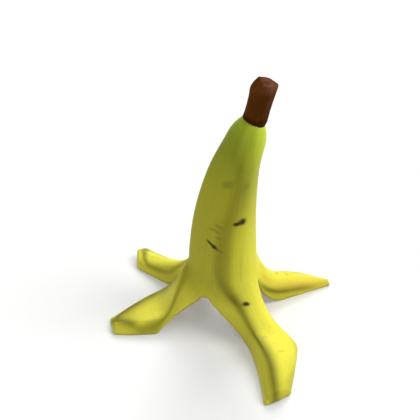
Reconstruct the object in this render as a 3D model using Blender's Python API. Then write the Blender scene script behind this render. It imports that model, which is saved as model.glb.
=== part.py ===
"""A banana peel standing on its four torn strips, neck and stem up, hollow and open underneath.

Run it with blender --background --python part.py, or from Blender's text editor. Sizes are in
millimetres and become metres where mesh points are made. +X is right, +Y is away, +Z is up, and the
peel stands on z = 0. Azimuths are in degrees from +X, seen from above.
"""

from dataclasses import dataclass

import bmesh
import bpy
import numpy as np

MM = 0.001

# Skin
SKIN_THICKNESS = 2.8
FOLD_THICKNESS = 0.85  # shares of that thickness at a strip's fold and at its tip
TIP_THICKNESS = 0.4
TIP_THINNING_POWER = 4
THICKEST_FOR_WIDTH = 0.17  # most thickness of a narrow tip, as a share of its width
EDGE_THINNING = 0.35  # shares of the thickness that a strip lacks along its edges and its crest
CREST_THINNING = 0.35
CREST_THINNING_WIDTH = 0.3  # as a share of half a strip
EDGE_HEIGHT = 0.6  # outer skin above the floor along a strip's edges

# Ridges of the fruit, one down the middle of each strip, with flatter faces between them
RIDGE_RISE = 1.1
RIDGE_WIDTH = 12.0  # degrees off the middle at which most of the rise is gone
RIDGE_START = 22.0  # length below the neck over which ridges and faces come up
FACE_DIP = 1.4  # how far the middle of a face a quarter of the way round lies in from round
RIDGE_AT_TIP = 0.4  # share of the rise left at a strip's tip

# Body: a round tube on a curved middle line, from the floor to the neck
MIDLINE_START_X = -1.8
MIDLINE_START_LEAN = -6.2  # degrees from upright, towards +X
MIDLINE_BEND = 36.0  # degrees gained over the height of the fruit
MIDLINE_BEND_FROM = 4.5
MIDLINE_BEND_TO = 150.0
MIDLINE_BEND_POWER = 1.27
GIRTH_HEIGHTS = (0.0, 30.0, 60.0, 90.0, 114.0)
GIRTH_RADII = (20.1, 19.5, 17.5, 14.0, 10.2)
NECK_HEIGHT = GIRTH_HEIGHTS[-1]
# Where the skin closes on the stem: shares of the way from the neck to the stem's base, and how much
# wider than the stem the skin is there
NECK_CLOSING = ((0.96, -0.6), (0.8, 0.75))

# Stem: a solid stalk that plugs the neck
STEM_BASE_HEIGHT = 123.5
STEM_BASE_RADIUS = 6.25
STEM_TOP_RADIUS = 6.8
STEM_LENGTH = 21.4
STEM_UPRIGHTING = -9.1  # degrees by which it stands straighter than the neck
STEM_CORNERS = 5
STEM_CORNER_RISE = 0.35
STEM_CHAMFER_SLOPE = 1.35
STEM_CHAMFER_START = 1.6  # distance from the middle
STEM_CHAMFER_AZIMUTH = 194.0
STEM_SOCKET_DEPTH = 1.5
STEM_SOCKET_NARROWING = 0.2
PLUG_HEIGHT = 112.0
PLUG_RADIUS = 8.6
# Share of the length, share of the radius, and how far the chamfer has come in
STEM_PROFILE = (
    (0.0, 1.0, 0.0),
    (0.1, 1.02, 0.0),
    (0.3, 0.96, 0.0),
    (0.55, 0.97, 0.1),
    (0.8, 0.99, 0.45),
    (0.96, 1.0, 0.92),
    (1.0, 0.9, 1.0),
    (1.0, 0.5, 1.0),
    (1.0, 0.13, 1.0),
)

# Tips
NOSE_NARROWING = 0.22
NOSE_LEAST_RISE = 0.12
NOSE_ROUNDING = 0.7

# Mesh fineness
PROFILE_SAMPLES = 80
PROFILE_HEIGHT = 0.7  # a strip's height over its half width, to space the columns evenly
MIDLINE_STEP = 0.5
COLUMNS_PER_HALF_STRIP = 6
BODY_ROWS = 13
FOLD_ROWS = 6
FLOOR_ROWS = 7
NOSE_ROWS = 2


@dataclass(frozen=True)
class Tear:
    """The top of a tear between two strips, on the round body."""

    azimuth: float
    height: float
    half_gap: float = 2.8


@dataclass(frozen=True)
class Section:
    """A cut across a strip: its two edges on the floor and the crest between them."""

    first_edge: tuple[float, float]
    crest: tuple[float, float]
    rise: float
    second_edge: tuple[float, float]


@dataclass(frozen=True)
class Strip:
    """A strip of skin that folds away from the body and lies down, outer side up.

    Its sections are where it lands, its middle and its tip. Fold angles, leaving and arriving are
    given at the first edge, the crest and the second edge: how far the skin leans out as it leaves
    the body, and how long it holds its way as it leaves and before it lands, as shares of the
    distance. Squareness is 2 for a round side and more for a square shoulder.
    """

    name: str
    crest_azimuth: float
    fold_rise: float
    fold_angles: tuple[float, float, float]
    leaving: tuple[float, float, float]
    arriving: tuple[float, float, float]
    squareness: tuple[float, float]
    nose: float
    sections: tuple[Section, Section, Section]


# Anticlockwise from the front: tear i is before strip i.
TEARS = (Tear(-130.0, 18.1), Tear(-3.7, 18.3), Tear(78.7, 29.3), Tear(153.6, 28.5))
STRIPS = (
    Strip(
        "front",
        crest_azimuth=-83.7,
        fold_rise=11.6,
        fold_angles=(69.2, 50.3, 8.2),
        leaving=(0.44, 0.61, 0.65),
        arriving=(0.27, 0.26, 0.15),
        squareness=(1.9, 1.85),
        nose=2.5,
        sections=(
            Section((8.4, -36.4), (12.4, -40.0), 10.4, (35.5, -36.8)),
            Section((12.2, -53.9), (18.1, -58.2), 9.4, (33.6, -50.0)),
            Section((14.6, -79.0), (20.8, -77.0), 5.9, (29.3, -70.6)),
        ),
    ),
    Strip(
        "right",
        crest_azimuth=33.5,
        fold_rise=12.0,
        fold_angles=(5.8, 15.9, 21.1),
        leaving=(0.35, 0.30, 0.37),
        arriving=(0.37, 0.37, 0.34),
        squareness=(3.0, 2.3),
        nose=1.6,
        sections=(
            Section((32.2, 7.5), (30.1, 17.0), 10.8, (26.5, 27.8)),
            Section((44.6, 13.7), (43.7, 20.4), 6.9, (40.2, 30.8)),
            Section((59.1, 20.9), (58.5, 23.2), 2.8, (57.2, 25.4)),
        ),
    ),
    Strip(
        "back",
        crest_azimuth=129.0,
        fold_rise=1.5,
        fold_angles=(17.6, 39.9, 23.9),
        leaving=(0.33, 0.31, 0.35),
        arriving=(0.30, 0.32, 0.27),
        squareness=(1.9, 2.7),
        nose=2.5,
        sections=(
            Section((-30.1, 38.5), (-35.8, 29.6), 11.4, (-41.4, 24.7)),
            Section((-43.5, 50.5), (-47.0, 40.4), 7.2, (-51.6, 33.3)),
            Section((-50.8, 57.3), (-57.9, 51.0), 5.8, (-57.3, 38.4)),
        ),
    ),
    Strip(
        "left",
        crest_azimuth=184.0,
        fold_rise=9.2,
        fold_angles=(20.0, 53.0, 80.0),
        leaving=(0.57, 0.49, 0.62),
        arriving=(0.34, 0.31, 0.09),
        squareness=(1.9, 2.8),
        nose=2.5,
        sections=(
            Section((-50.2, 9.3), (-43.0, -20.8), 7.0, (-43.5, -25.0)),
            Section((-57.0, 2.7), (-53.6, -21.0), 5.8, (-54.0, -25.8)),
            Section((-68.5, -10.6), (-65.5, -21.6), 4.2, (-64.6, -25.6)),
        ),
    ),
)


def ease(t):
    """0 to 1 with a level start and end."""
    t = np.clip(t, 0.0, 1.0)
    return t * t * (3.0 - 2.0 * t)


def blend_through(knots, values, x):
    """A curve through the values at the knots, each row one point: (points, slopes) at x."""
    knots = np.asarray(knots, float)
    values = np.asarray(values, float).reshape(len(knots), -1)
    step = np.diff(knots)
    chord = np.diff(values, axis=0) / step[:, None]
    slope = np.empty_like(values)
    for i in range(1, len(knots) - 1):
        slope[i] = (chord[i - 1] * step[i] + chord[i] * step[i - 1]) / (step[i] + step[i - 1])
    slope[0] = 2 * chord[0] - slope[1]
    slope[-1] = 2 * chord[-1] - slope[-2]
    span = np.clip(np.searchsorted(knots, x) - 1, 0, len(knots) - 2)
    h = step[span][:, None]
    t = (x - knots[span])[:, None] / h
    start, end = values[span], values[span + 1]
    out, into = h * slope[span], h * slope[span + 1]
    points = (
        (2 * t**3 - 3 * t**2 + 1) * start
        + (t**3 - 2 * t**2 + t) * out
        + (3 * t**2 - 2 * t**3) * end
        + (t**3 - t**2) * into
    )
    slopes = (6 * t**2 - 6 * t) * (start - end) + (3 * t**2 - 4 * t + 1) * out + (3 * t**2 - 2 * t) * into
    return points, slopes / h


def unit(vectors):
    """The vectors, each one long."""
    return vectors / np.linalg.norm(vectors, axis=-1, keepdims=True)


def midline(height):
    """Points of the body's middle line at lengths along it, with the lean there in radians."""
    along = np.arange(-10.0, 180.0, MIDLINE_STEP)
    share = np.clip((along - MIDLINE_BEND_FROM) / (MIDLINE_BEND_TO - MIDLINE_BEND_FROM), 0.0, None)
    lean = np.radians(MIDLINE_START_LEAN + MIDLINE_BEND * share**MIDLINE_BEND_POWER)
    x = np.cumsum(np.sin(lean)) * MIDLINE_STEP
    z = np.cumsum(np.cos(lean)) * MIDLINE_STEP
    x += MIDLINE_START_X - np.interp(0.0, along, x)
    z -= np.interp(0.0, along, z)
    at = [np.interp(height, along, values) for values in (x, z, lean)]
    return np.column_stack([at[0], np.zeros_like(at[0]), at[1]]), at[2]


def girth(height):
    """The body's radius at lengths along the middle line."""
    height = np.clip(height, 0.0, NECK_HEIGHT)
    return blend_through(GIRTH_HEIGHTS, GIRTH_RADII, height)[0][:, 0]


def around(centre, lean, azimuth, radius):
    """Points round a centre, in the plane square to a middle line with that lean."""
    side = np.column_stack([np.cos(lean), np.zeros_like(lean), -np.sin(lean)])
    away = np.array([0.0, 1.0, 0.0])
    radius = radius[:, None]
    return centre + radius * (np.cos(azimuth)[:, None] * side + np.sin(azimuth)[:, None] * away)


def ridge(off_crest):
    """How far the skin stands out at angles off the middle of its strip."""
    return RIDGE_RISE * np.exp(-((np.degrees(off_crest) / RIDGE_WIDTH) ** 2))


def face_dip(index, off_crest):
    """How far the skin lies in from round, at angles off the middle of a strip."""
    turns = [
        (STRIPS[(i + 1) % len(STRIPS)].crest_azimuth - STRIPS[i].crest_azimuth) % 360.0
        for i in (index - 1, index)
    ]
    turn = np.where(off_crest < 0.0, *turns)
    return FACE_DIP * (turn / 90.0) * np.sin(np.pi * np.degrees(off_crest) / turn) ** 2


def body_ring(height, azimuth, relief):
    """Points of the outer skin at a length along the body for each azimuth."""
    centre, lean = midline(height)
    risen = ease((NECK_HEIGHT - height) / RIDGE_START)
    return around(centre, lean, azimuth, girth(height) + risen * relief)


def half_profile(squareness, steps):
    """Even points down one side of a strip's cut: (share of the way out, share of the height)."""
    angle = np.linspace(0.0, np.pi / 2, PROFILE_SAMPLES)
    out = np.sin(angle) ** (2.0 / squareness)
    up = np.cos(angle) ** (2.0 / squareness)
    steps_along = np.hypot(np.diff(out), PROFILE_HEIGHT * np.diff(up))
    length = np.concatenate([[0.0], np.cumsum(steps_along)])
    even = np.linspace(0.0, length[-1], steps + 1)
    return np.interp(even, length, out), np.interp(even, length, up)


def section_points(first_edge, crest, rise, second_edge, squareness):
    """The outer skin across a strip, from its first edge over the crest to its second."""
    first_out, first_up = half_profile(squareness[0], COLUMNS_PER_HALF_STRIP)
    second_out, second_up = half_profile(squareness[1], COLUMNS_PER_HALF_STRIP)
    first_side = crest + np.outer(first_out, first_edge - crest)
    second_side = crest + np.outer(second_out, second_edge - crest)
    plan = np.concatenate([first_side[::-1], second_side[1:]])
    height = EDGE_HEIGHT + rise * np.concatenate([first_up[::-1], second_up[1:]])
    return np.column_stack([plan, height])


def places_across():
    """The columns of one strip, from -1 at its first edge to 1 at its second."""
    return np.linspace(-1.0, 1.0, 2 * COLUMNS_PER_HALF_STRIP + 1)


def spread_across(values):
    """A column of values across a strip, from those at its first edge, its crest and its second edge."""
    first_edge, crest, second_edge = values
    across = places_across()
    edge = np.where(across < 0.0, first_edge, second_edge)
    return (crest + (edge - crest) * across**2)[:, None]


def strip_root(index):
    """Where a strip leaves the body: (azimuths, reliefs, heights, angles off its middle)."""
    strip, before, after = STRIPS[index], TEARS[index], TEARS[(index + 1) % len(TEARS)]
    start = before.azimuth + before.half_gap
    end = after.azimuth - after.half_gap + (360.0 if index == len(STRIPS) - 1 else 0.0)
    across = places_across()
    half_width = np.where(across < 0.0, strip.crest_azimuth - start, end - strip.crest_azimuth)
    off_crest = np.radians(half_width * across)
    edge_height = before.height + (after.height - before.height) * ease((across + 1.0) / 2.0)
    height = edge_height + strip.fold_rise * (1.0 - across**2)
    relief = ridge(off_crest) - face_dip(index, off_crest)
    return np.radians(strip.crest_azimuth) + off_crest, relief, height, off_crest


def floor_sections(strip):
    """The strip's sections from where it lands to its tip, then its rounded nose."""
    firsts, crests, seconds = (
        np.array([getattr(section, name) for section in strip.sections])
        for name in ("first_edge", "crest", "second_edge")
    )
    rises = np.array([section.rise for section in strip.sections])
    along = np.concatenate([[0.0], np.cumsum(np.linalg.norm(np.diff(crests, axis=0), axis=1))])
    # The extra place just before the first gives the direction in which the strip lands.
    places = np.concatenate([[-0.5], np.linspace(0.0, along[-1], FLOOR_ROWS + 1)])
    (first, _), (crest, heading), (second, _), (rise, _) = (
        blend_through(along, values, places) for values in (firsts, crests, seconds, rises)
    )
    rows = [
        section_points(first[i], crest[i], rise[i, 0], second[i], strip.squareness)
        for i in range(len(places))
    ]
    tip, forward = crest[-1], unit(heading[-1])
    for step in range(1, NOSE_ROWS + 1):
        turn = 0.5 * np.pi * step / NOSE_ROWS
        centre = tip + forward * strip.nose * np.sin(turn)
        narrowing = 1.0 - NOSE_NARROWING * (1.0 - np.cos(turn))
        flattening = max(np.cos(turn), 0.0) ** NOSE_ROUNDING
        edges = [centre + (edge - tip) * narrowing for edge in (first[-1], second[-1])]
        height = rise[-1, 0] * (NOSE_LEAST_RISE + (1.0 - NOSE_LEAST_RISE) * flattening)
        rows.append(section_points(edges[0], centre, height, edges[1], strip.squareness))
    return rows


def strip_rows(index):
    """The outer skin of one strip, row by row, from just below its fold to its nose."""
    strip = STRIPS[index]
    azimuth, relief, height, off_crest = strip_root(index)
    root = body_ring(height, azimuth, relief)
    down = unit(root - body_ring(height + 1.0, azimuth, relief))
    before, landing, *rest = floor_sections(strip)
    outward = (landing - root) * [1.0, 1.0, 0.0]
    fold = np.radians(spread_across(strip.fold_angles))
    leaving = down * np.cos(fold) + unit(outward) * np.sin(fold)
    arriving = unit(landing - before)
    distance = np.linalg.norm(landing - root, axis=1, keepdims=True)
    handle_a = root + leaving * distance * spread_across(strip.leaving)
    handle_b = landing - arriving * distance * spread_across(strip.arriving)
    rows = []
    for step in range(1, FOLD_ROWS + 1):
        t = step / FOLD_ROWS
        rows.append(
            (1 - t) ** 3 * root
            + 3 * (1 - t) ** 2 * t * handle_a
            + 3 * (1 - t) * t**2 * handle_b
            + t**3 * landing
        )
    rows += rest
    lift = np.outer(ridge(off_crest), [0.0, 0.0, 1.0])
    fade = np.linspace(1.0, RIDGE_AT_TIP, len(rows))
    return [row + lift * share for row, share in zip(rows, fade)]


def body_columns():
    """The body's columns all the way round: (azimuths, reliefs, heights of the fold line)."""
    roots = [strip_root(index)[:3] for index in range(len(STRIPS))]
    return [np.concatenate(parts) for parts in zip(*roots)]


def stem_rings():
    """The rings of the solid stem, from the plug inside the neck to its cut end."""
    azimuth = body_columns()[0]
    ones = np.ones_like(azimuth)
    corners = STEM_CORNER_RISE * np.cos(STEM_CORNERS * azimuth)
    rings = []
    for height, radius in (
        (PLUG_HEIGHT, PLUG_RADIUS),
        (STEM_BASE_HEIGHT - STEM_SOCKET_DEPTH, STEM_BASE_RADIUS - STEM_SOCKET_NARROWING),
    ):
        centre, lean = midline(height * ones)
        rings.append(around(centre, lean, azimuth, radius * ones))
    foot, lean = midline(STEM_BASE_HEIGHT * ones)
    lean = lean + np.radians(STEM_UPRIGHTING)
    along = np.array([np.sin(lean[0]), 0.0, np.cos(lean[0])])
    towards_chamfer = np.cos(azimuth - np.radians(STEM_CHAMFER_AZIMUTH))
    for share, width, chamfering in STEM_PROFILE:
        radius = (STEM_BASE_RADIUS + (STEM_TOP_RADIUS - STEM_BASE_RADIUS) * share + corners) * width
        past_chamfer_start = np.maximum(radius * towards_chamfer - STEM_CHAMFER_START, 0.0)
        ring = around(foot + along * STEM_LENGTH * share, lean, azimuth, radius)
        rings.append(ring - np.outer(past_chamfer_start * STEM_CHAMFER_SLOPE * chamfering, along))
    return rings


def skin_rows():
    """The body's outer skin from the neck's top to the fold line: rows of points, one per column."""
    azimuth, relief, height = body_columns()
    ones = np.ones_like(azimuth)
    rows = []
    for share, wider in NECK_CLOSING:
        centre, lean = midline(ones * (NECK_HEIGHT + (STEM_BASE_HEIGHT - NECK_HEIGHT) * share))
        rows.append(around(centre, lean, azimuth, (STEM_BASE_RADIUS + wider) * ones))
    for step in range(BODY_ROWS + 1):
        level = NECK_HEIGHT + (height - NECK_HEIGHT) * step / BODY_ROWS
        rows.append(body_ring(level, azimuth, relief))
    return rows


def add_points(mesh, rows):
    """New vertices for rows of points in millimetres."""
    return [[mesh.verts.new(point * MM) for point in row] for row in rows]


def join_rows(mesh, rows, closed):
    """Faces between each row and the next, facing out for rows that run down and turn anticlockwise."""
    for upper, lower in zip(rows, rows[1:]):
        count = len(upper)
        for i in range(count if closed else count - 1):
            j = (i + 1) % count
            mesh.faces.new((upper[i], lower[i], lower[j], upper[j]))


def new_object(name, mesh, parent):
    """A smooth-shaded object from a bmesh."""
    data = bpy.data.meshes.new(name)
    mesh.to_mesh(data)
    mesh.free()
    data.shade_smooth()
    obj = bpy.data.objects.new(name, data)
    obj.parent = parent
    bpy.context.scene.collection.objects.link(obj)
    return obj


def as_operand(obj):
    """Keeps an object as a helper that a Boolean reads, and that is no part of the peel."""
    obj.hide_render = True
    obj.display_type = "WIRE"
    return obj


def strip_thickness(towards_tip, width):
    """Shares of the skin's thickness at the places across a strip, 0 to 1 of the way to its tip."""
    most = FOLD_THICKNESS + (TIP_THICKNESS - FOLD_THICKNESS) * towards_tip**TIP_THINNING_POWER
    most = min(most, THICKEST_FOR_WIDTH * width / SKIN_THICKNESS)
    across = places_across()
    thinning = EDGE_THINNING * np.abs(across) ** 3
    thinning += CREST_THINNING * np.exp(-((across / CREST_THINNING_WIDTH) ** 2))
    return most * (1.0 - thinning)


def make_skin(parent):
    """The peel's outer skin, thickened inwards: thinner along torn edges and thinnest at the tips."""
    mesh = bmesh.new()
    weight = mesh.verts.layers.deform.verify()
    body = add_points(mesh, skin_rows())
    join_rows(mesh, body, closed=True)
    for vertex in mesh.verts:
        vertex[weight][0] = 1.0
    columns = len(places_across())
    for index in range(len(STRIPS)):
        fold_line = body[-1][index * columns : (index + 1) * columns]
        rows = add_points(mesh, strip_rows(index))
        join_rows(mesh, [fold_line, *rows], closed=False)
        for row_number, row in enumerate(rows):
            width = (row[0].co - row[-1].co).length
            thickness = strip_thickness(row_number / (len(rows) - 1), width / MM)
            for share, vertex in zip(thickness, row):
                vertex[weight][0] = share
    skin = new_object("peel", mesh, parent)
    skin.vertex_groups.new(name="thickness")
    solidify = skin.modifiers.new("thickness", "SOLIDIFY")
    solidify.thickness = SKIN_THICKNESS * MM
    solidify.offset = -1.0
    solidify.vertex_group = "thickness"
    solidify.use_quality_normals = True
    return skin


def make_stem(parent):
    """The stalk, a solid that fills the neck's top."""
    mesh = bmesh.new()
    rings = add_points(mesh, reversed(stem_rings()))
    join_rows(mesh, rings, closed=True)
    mesh.faces.new(rings[0])
    mesh.faces.new(reversed(rings[-1]))
    return as_operand(new_object("stem", mesh, parent))


def make_floor_cutter(parent):
    """A slab with its top at z = 0, which leaves the strips' undersides flat where they lie."""
    size = 0.4
    mesh = bmesh.new()
    bmesh.ops.create_cube(mesh, size=size)
    bmesh.ops.translate(mesh, verts=mesh.verts, vec=(0.0, 0.0, -size / 2))
    return as_operand(new_object("floor_cutter", mesh, parent))


def combine(target, operand, operation):
    """Adds an exact Boolean of the operand to the target."""
    modifier = target.modifiers.new(operand.name, "BOOLEAN")
    modifier.operation = operation
    modifier.solver = "EXACT"
    modifier.object = operand


def peel_material():
    """Ripe yellow skin with a soft sheen."""
    material = bpy.data.materials.new("peel_skin")
    material.use_nodes = True
    shader = material.node_tree.nodes["Principled BSDF"]
    shader.inputs["Base Color"].default_value = (0.76, 0.68, 0.05, 1.0)
    shader.inputs["Roughness"].default_value = 0.5
    shader.inputs["Metallic"].default_value = 0.0
    return material


def middle_of_plan():
    """The middle, seen from above, of everything that the outer skin and the stem reach."""
    rows = [*skin_rows(), *stem_rings()]
    for index in range(len(STRIPS)):
        rows += strip_rows(index)
    points = np.concatenate(rows)
    return (points.min(axis=0) + points.max(axis=0))[:2] / 2.0


def main():
    """Builds the peel with the middle of its plan over the origin."""
    for obj in list(bpy.data.objects):
        bpy.data.objects.remove(obj, do_unlink=True)
    place = bpy.data.objects.new("peel_place", None)
    place.location = (*(-middle_of_plan() * MM), 0.0)
    bpy.context.scene.collection.objects.link(place)
    skin = make_skin(place)
    combine(skin, make_stem(place), "UNION")
    combine(skin, make_floor_cutter(place), "DIFFERENCE")
    skin.data.materials.append(peel_material())


main()
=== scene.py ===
"""Looks of an empty banana peel that stands on its four torn strips, neck and stem up.

The skin is worked out in millimetres round the fruit's own middle line, then moved so that the
middle of its plan is over the origin, and turned into metres where meshes are made. +X is right,
+Y is away and +Z is up. Azimuths are in degrees from +X, seen from above.
"""

import logging
import math
from dataclasses import dataclass
from enum import Enum, IntEnum
from typing import Any

import bmesh
import bpy
import numpy as np
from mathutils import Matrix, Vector, noise


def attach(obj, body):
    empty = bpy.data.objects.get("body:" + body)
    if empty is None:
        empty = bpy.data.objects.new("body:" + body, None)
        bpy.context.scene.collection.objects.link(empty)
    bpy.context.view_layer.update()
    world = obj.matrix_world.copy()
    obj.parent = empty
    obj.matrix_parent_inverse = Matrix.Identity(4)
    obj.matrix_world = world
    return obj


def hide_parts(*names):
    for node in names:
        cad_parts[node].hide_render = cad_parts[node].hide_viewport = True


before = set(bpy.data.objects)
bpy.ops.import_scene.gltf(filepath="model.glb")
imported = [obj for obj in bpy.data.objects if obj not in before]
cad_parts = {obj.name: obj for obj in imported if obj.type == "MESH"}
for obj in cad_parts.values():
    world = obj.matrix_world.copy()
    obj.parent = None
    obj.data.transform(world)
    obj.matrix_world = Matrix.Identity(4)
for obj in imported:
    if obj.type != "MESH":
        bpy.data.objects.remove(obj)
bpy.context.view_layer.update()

MM = 0.001
PLAN_MIDDLE = np.array([-4.89303, -11.46292, 0.0])
STEM_BASE_HEIGHT = 123.5
STEM_BASE_RADIUS = 6.25
# Which way the noise moves as its seed grows
SEED_WAY = np.array([1.0, 1.7, -0.6])
Pair = tuple[float, float]
Colour = tuple[float, float, float]
Point = tuple[float, float, float]
Stops = tuple[tuple[float, Colour], ...]
Array = np.ndarray
Vertex = bmesh.types.BMVert
log = logging.getLogger("banana_peel")


# ---------------------------------------------------------------- numbers


def ease(t: Array | float) -> Array:
    """0 to 1 with a level start and end."""
    t = np.clip(t, 0.0, 1.0)
    return t * t * (3.0 - 2.0 * t)


def unit(vectors: Array) -> Array:
    """The vectors, each one long."""
    return vectors / np.maximum(np.linalg.norm(vectors, axis=-1, keepdims=True), 1e-9)


def running(steps: Array, axis: int = 0) -> Array:
    """The running total of steps along an axis, from 0."""
    start = np.zeros_like(np.take(steps, [0], axis))
    return np.concatenate([start, np.cumsum(steps, axis=axis)], axis=axis)


def blend_through(knots: Any, values: Any, x: Array) -> tuple[Array, Array]:
    """A smooth curve through values at knots.

    Args:
        knots: Places along the curve, rising.
        values: One row for each knot.
        x: Places to work the curve out at.

    Returns:
        The points of the curve at x, and its slopes there.
    """
    knots = np.asarray(knots, float)
    values = np.asarray(values, float).reshape(len(knots), -1)
    step = np.diff(knots)
    chord = np.diff(values, axis=0) / step[:, None]
    slope = np.empty_like(values)
    for i in range(1, len(knots) - 1):
        slope[i] = (chord[i - 1] * step[i] + chord[i] * step[i - 1]) / (step[i] + step[i - 1])
    slope[0] = 2 * chord[0] - slope[1]
    slope[-1] = 2 * chord[-1] - slope[-2]
    span = np.clip(np.searchsorted(knots, x) - 1, 0, len(knots) - 2)
    h = step[span][:, None]
    t = (x - knots[span])[:, None] / h
    start, end = values[span], values[span + 1]
    out, into = h * slope[span], h * slope[span + 1]
    points = (2 * t**3 - 3 * t**2 + 1) * start + (t**3 - 2 * t**2 + t) * out
    points = points + (3 * t**2 - 2 * t**3) * end + (t**3 - t**2) * into
    slopes = (6 * t**2 - 6 * t) * (start - end) + (3 * t**2 - 4 * t + 1) * out
    return points, (slopes + (3 * t**2 - 2 * t) * into) / h


@dataclass(frozen=True)
class Wave:
    """Smooth noise with bumps of one height, one spacing along each axis and a seed of its own."""

    height: float
    spacing: Point
    seed: float

    def over(self, points: Array) -> Array:
        """How high the noise is at points, in any array whose last axis is three long."""
        scaled = points.reshape(-1, 3) / np.array(self.spacing) + self.seed * SEED_WAY
        values = [noise.noise(Vector(point)) for point in scaled]
        return self.height * np.array(values).reshape(points.shape[:-1])


# ---------------------------------------------------------------- shape of the fruit


@dataclass(frozen=True)
class Tear:
    """The top of a tear between two strips, on the round body."""

    azimuth: float
    height: float
    half_gap: float = 2.8


@dataclass(frozen=True)
class Section:
    """A cut across a strip: its two edges on the floor and the crest between them."""

    first_edge: Pair
    crest: Pair
    rise: float
    second_edge: Pair


@dataclass(frozen=True)
class Strip:
    """A strip of skin that folds away from the body and lies down, outer side up.

    Its sections are where it lands, its middle and its tip. Fold angles, leaving and arriving are
    given at the first edge, the crest and the second edge.
    """

    name: str
    crest_azimuth: float
    fold_rise: float
    fold_angles: Point
    leaving: Point
    arriving: Point
    squareness: Pair
    nose: float
    sections: tuple[Section, Section, Section]


TEARS = (Tear(-130.0, 18.1), Tear(-3.7, 18.3), Tear(78.7, 29.3), Tear(153.6, 28.5))
STRIPS = (
    Strip(
        "front", crest_azimuth=-83.7, fold_rise=11.6, fold_angles=(69.2, 50.3, 8.2),
        leaving=(0.44, 0.61, 0.65), arriving=(0.27, 0.26, 0.15), squareness=(1.9, 1.85), nose=2.5,
        sections=(
            Section((8.4, -36.4), (12.4, -40.0), 10.4, (35.5, -36.8)),
            Section((12.2, -53.9), (18.1, -58.2), 9.4, (33.6, -50.0)),
            Section((14.6, -79.0), (20.8, -77.0), 5.9, (29.3, -70.6)),
        ),
    ),
    Strip(
        "right", crest_azimuth=33.5, fold_rise=12.0, fold_angles=(5.8, 15.9, 21.1),
        leaving=(0.35, 0.30, 0.37), arriving=(0.37, 0.37, 0.34), squareness=(3.0, 2.3), nose=1.6,
        sections=(
            Section((32.2, 7.5), (30.1, 17.0), 10.8, (26.5, 27.8)),
            Section((44.6, 13.7), (43.7, 20.4), 6.9, (40.2, 30.8)),
            Section((59.1, 20.9), (58.5, 23.2), 2.8, (57.2, 25.4)),
        ),
    ),
    Strip(
        "back", crest_azimuth=129.0, fold_rise=1.5, fold_angles=(17.6, 39.9, 23.9),
        leaving=(0.33, 0.31, 0.35), arriving=(0.30, 0.32, 0.27), squareness=(1.9, 2.7), nose=2.5,
        sections=(
            Section((-30.1, 38.5), (-35.8, 29.6), 11.4, (-41.4, 24.7)),
            Section((-43.5, 50.5), (-47.0, 40.4), 7.2, (-51.6, 33.3)),
            Section((-50.8, 57.3), (-57.9, 51.0), 5.8, (-57.3, 38.4)),
        ),
    ),
    Strip(
        "left", crest_azimuth=184.0, fold_rise=9.2, fold_angles=(20.0, 53.0, 80.0),
        leaving=(0.57, 0.49, 0.62), arriving=(0.34, 0.31, 0.09), squareness=(1.9, 2.8), nose=2.5,
        sections=(
            Section((-50.2, 9.3), (-43.0, -20.8), 7.0, (-43.5, -25.0)),
            Section((-57.0, 2.7), (-53.6, -21.0), 5.8, (-54.0, -25.8)),
            Section((-68.5, -10.6), (-65.5, -21.6), 4.2, (-64.6, -25.6)),
        ),
    ),
)


class Tint(Enum):
    """The mesh's fields that strokes paint, each with its own colour in the skin's finish: crease
    and shade are painted shade, warm is an orange hue.
    """

    CREASE = "crease"
    SHADE = "shade"
    WARM = "warm"


@dataclass(frozen=True)
class Stroke:
    """A soft stroke of colour along a strip's skin.

    second_side is how much wider the stroke is on the side of the strip's second edge. Each of its
    points has the distance from the strip's ridge, the distance down from the neck, the stroke's
    strength there and its half width.
    """

    strip: str
    tint: Tint
    second_side: float
    points: tuple[tuple[float, float, float, float], ...]

    def share(self, off_ridge: Array, fall: Array) -> Array:
        """How strong the stroke is at places on its strip.

        Args:
            off_ridge: Distances from the ridge, below zero towards the first edge.
            fall: Distances down from the neck.

        Returns:
            Strengths from 0 to 1.
        """
        best = np.zeros_like(off_ridge)
        for start, end in zip(self.points, self.points[1:]):
            out, down, stronger, wider = np.subtract(end, start)
            t = (off_ridge - start[0]) * out + (fall - start[1]) * down
            t = np.clip(t / (out * out + down * down), 0.0, 1.0)
            aside = off_ridge - start[0] - t * out
            above = fall - start[1] - t * down
            width = (start[3] + t * wider) * np.where(aside > 0.0, self.second_side, 1.0)
            bell = np.exp(-(aside**2 + above**2) / width**2)
            best = np.maximum(best, (start[2] + t * stronger) * bell)
        return best


# Strokes of painted shade along creases, strip edges, tips and lower walls, in part the ridges' own
# darker colour, and of an orange hue near the right strip's root
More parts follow.
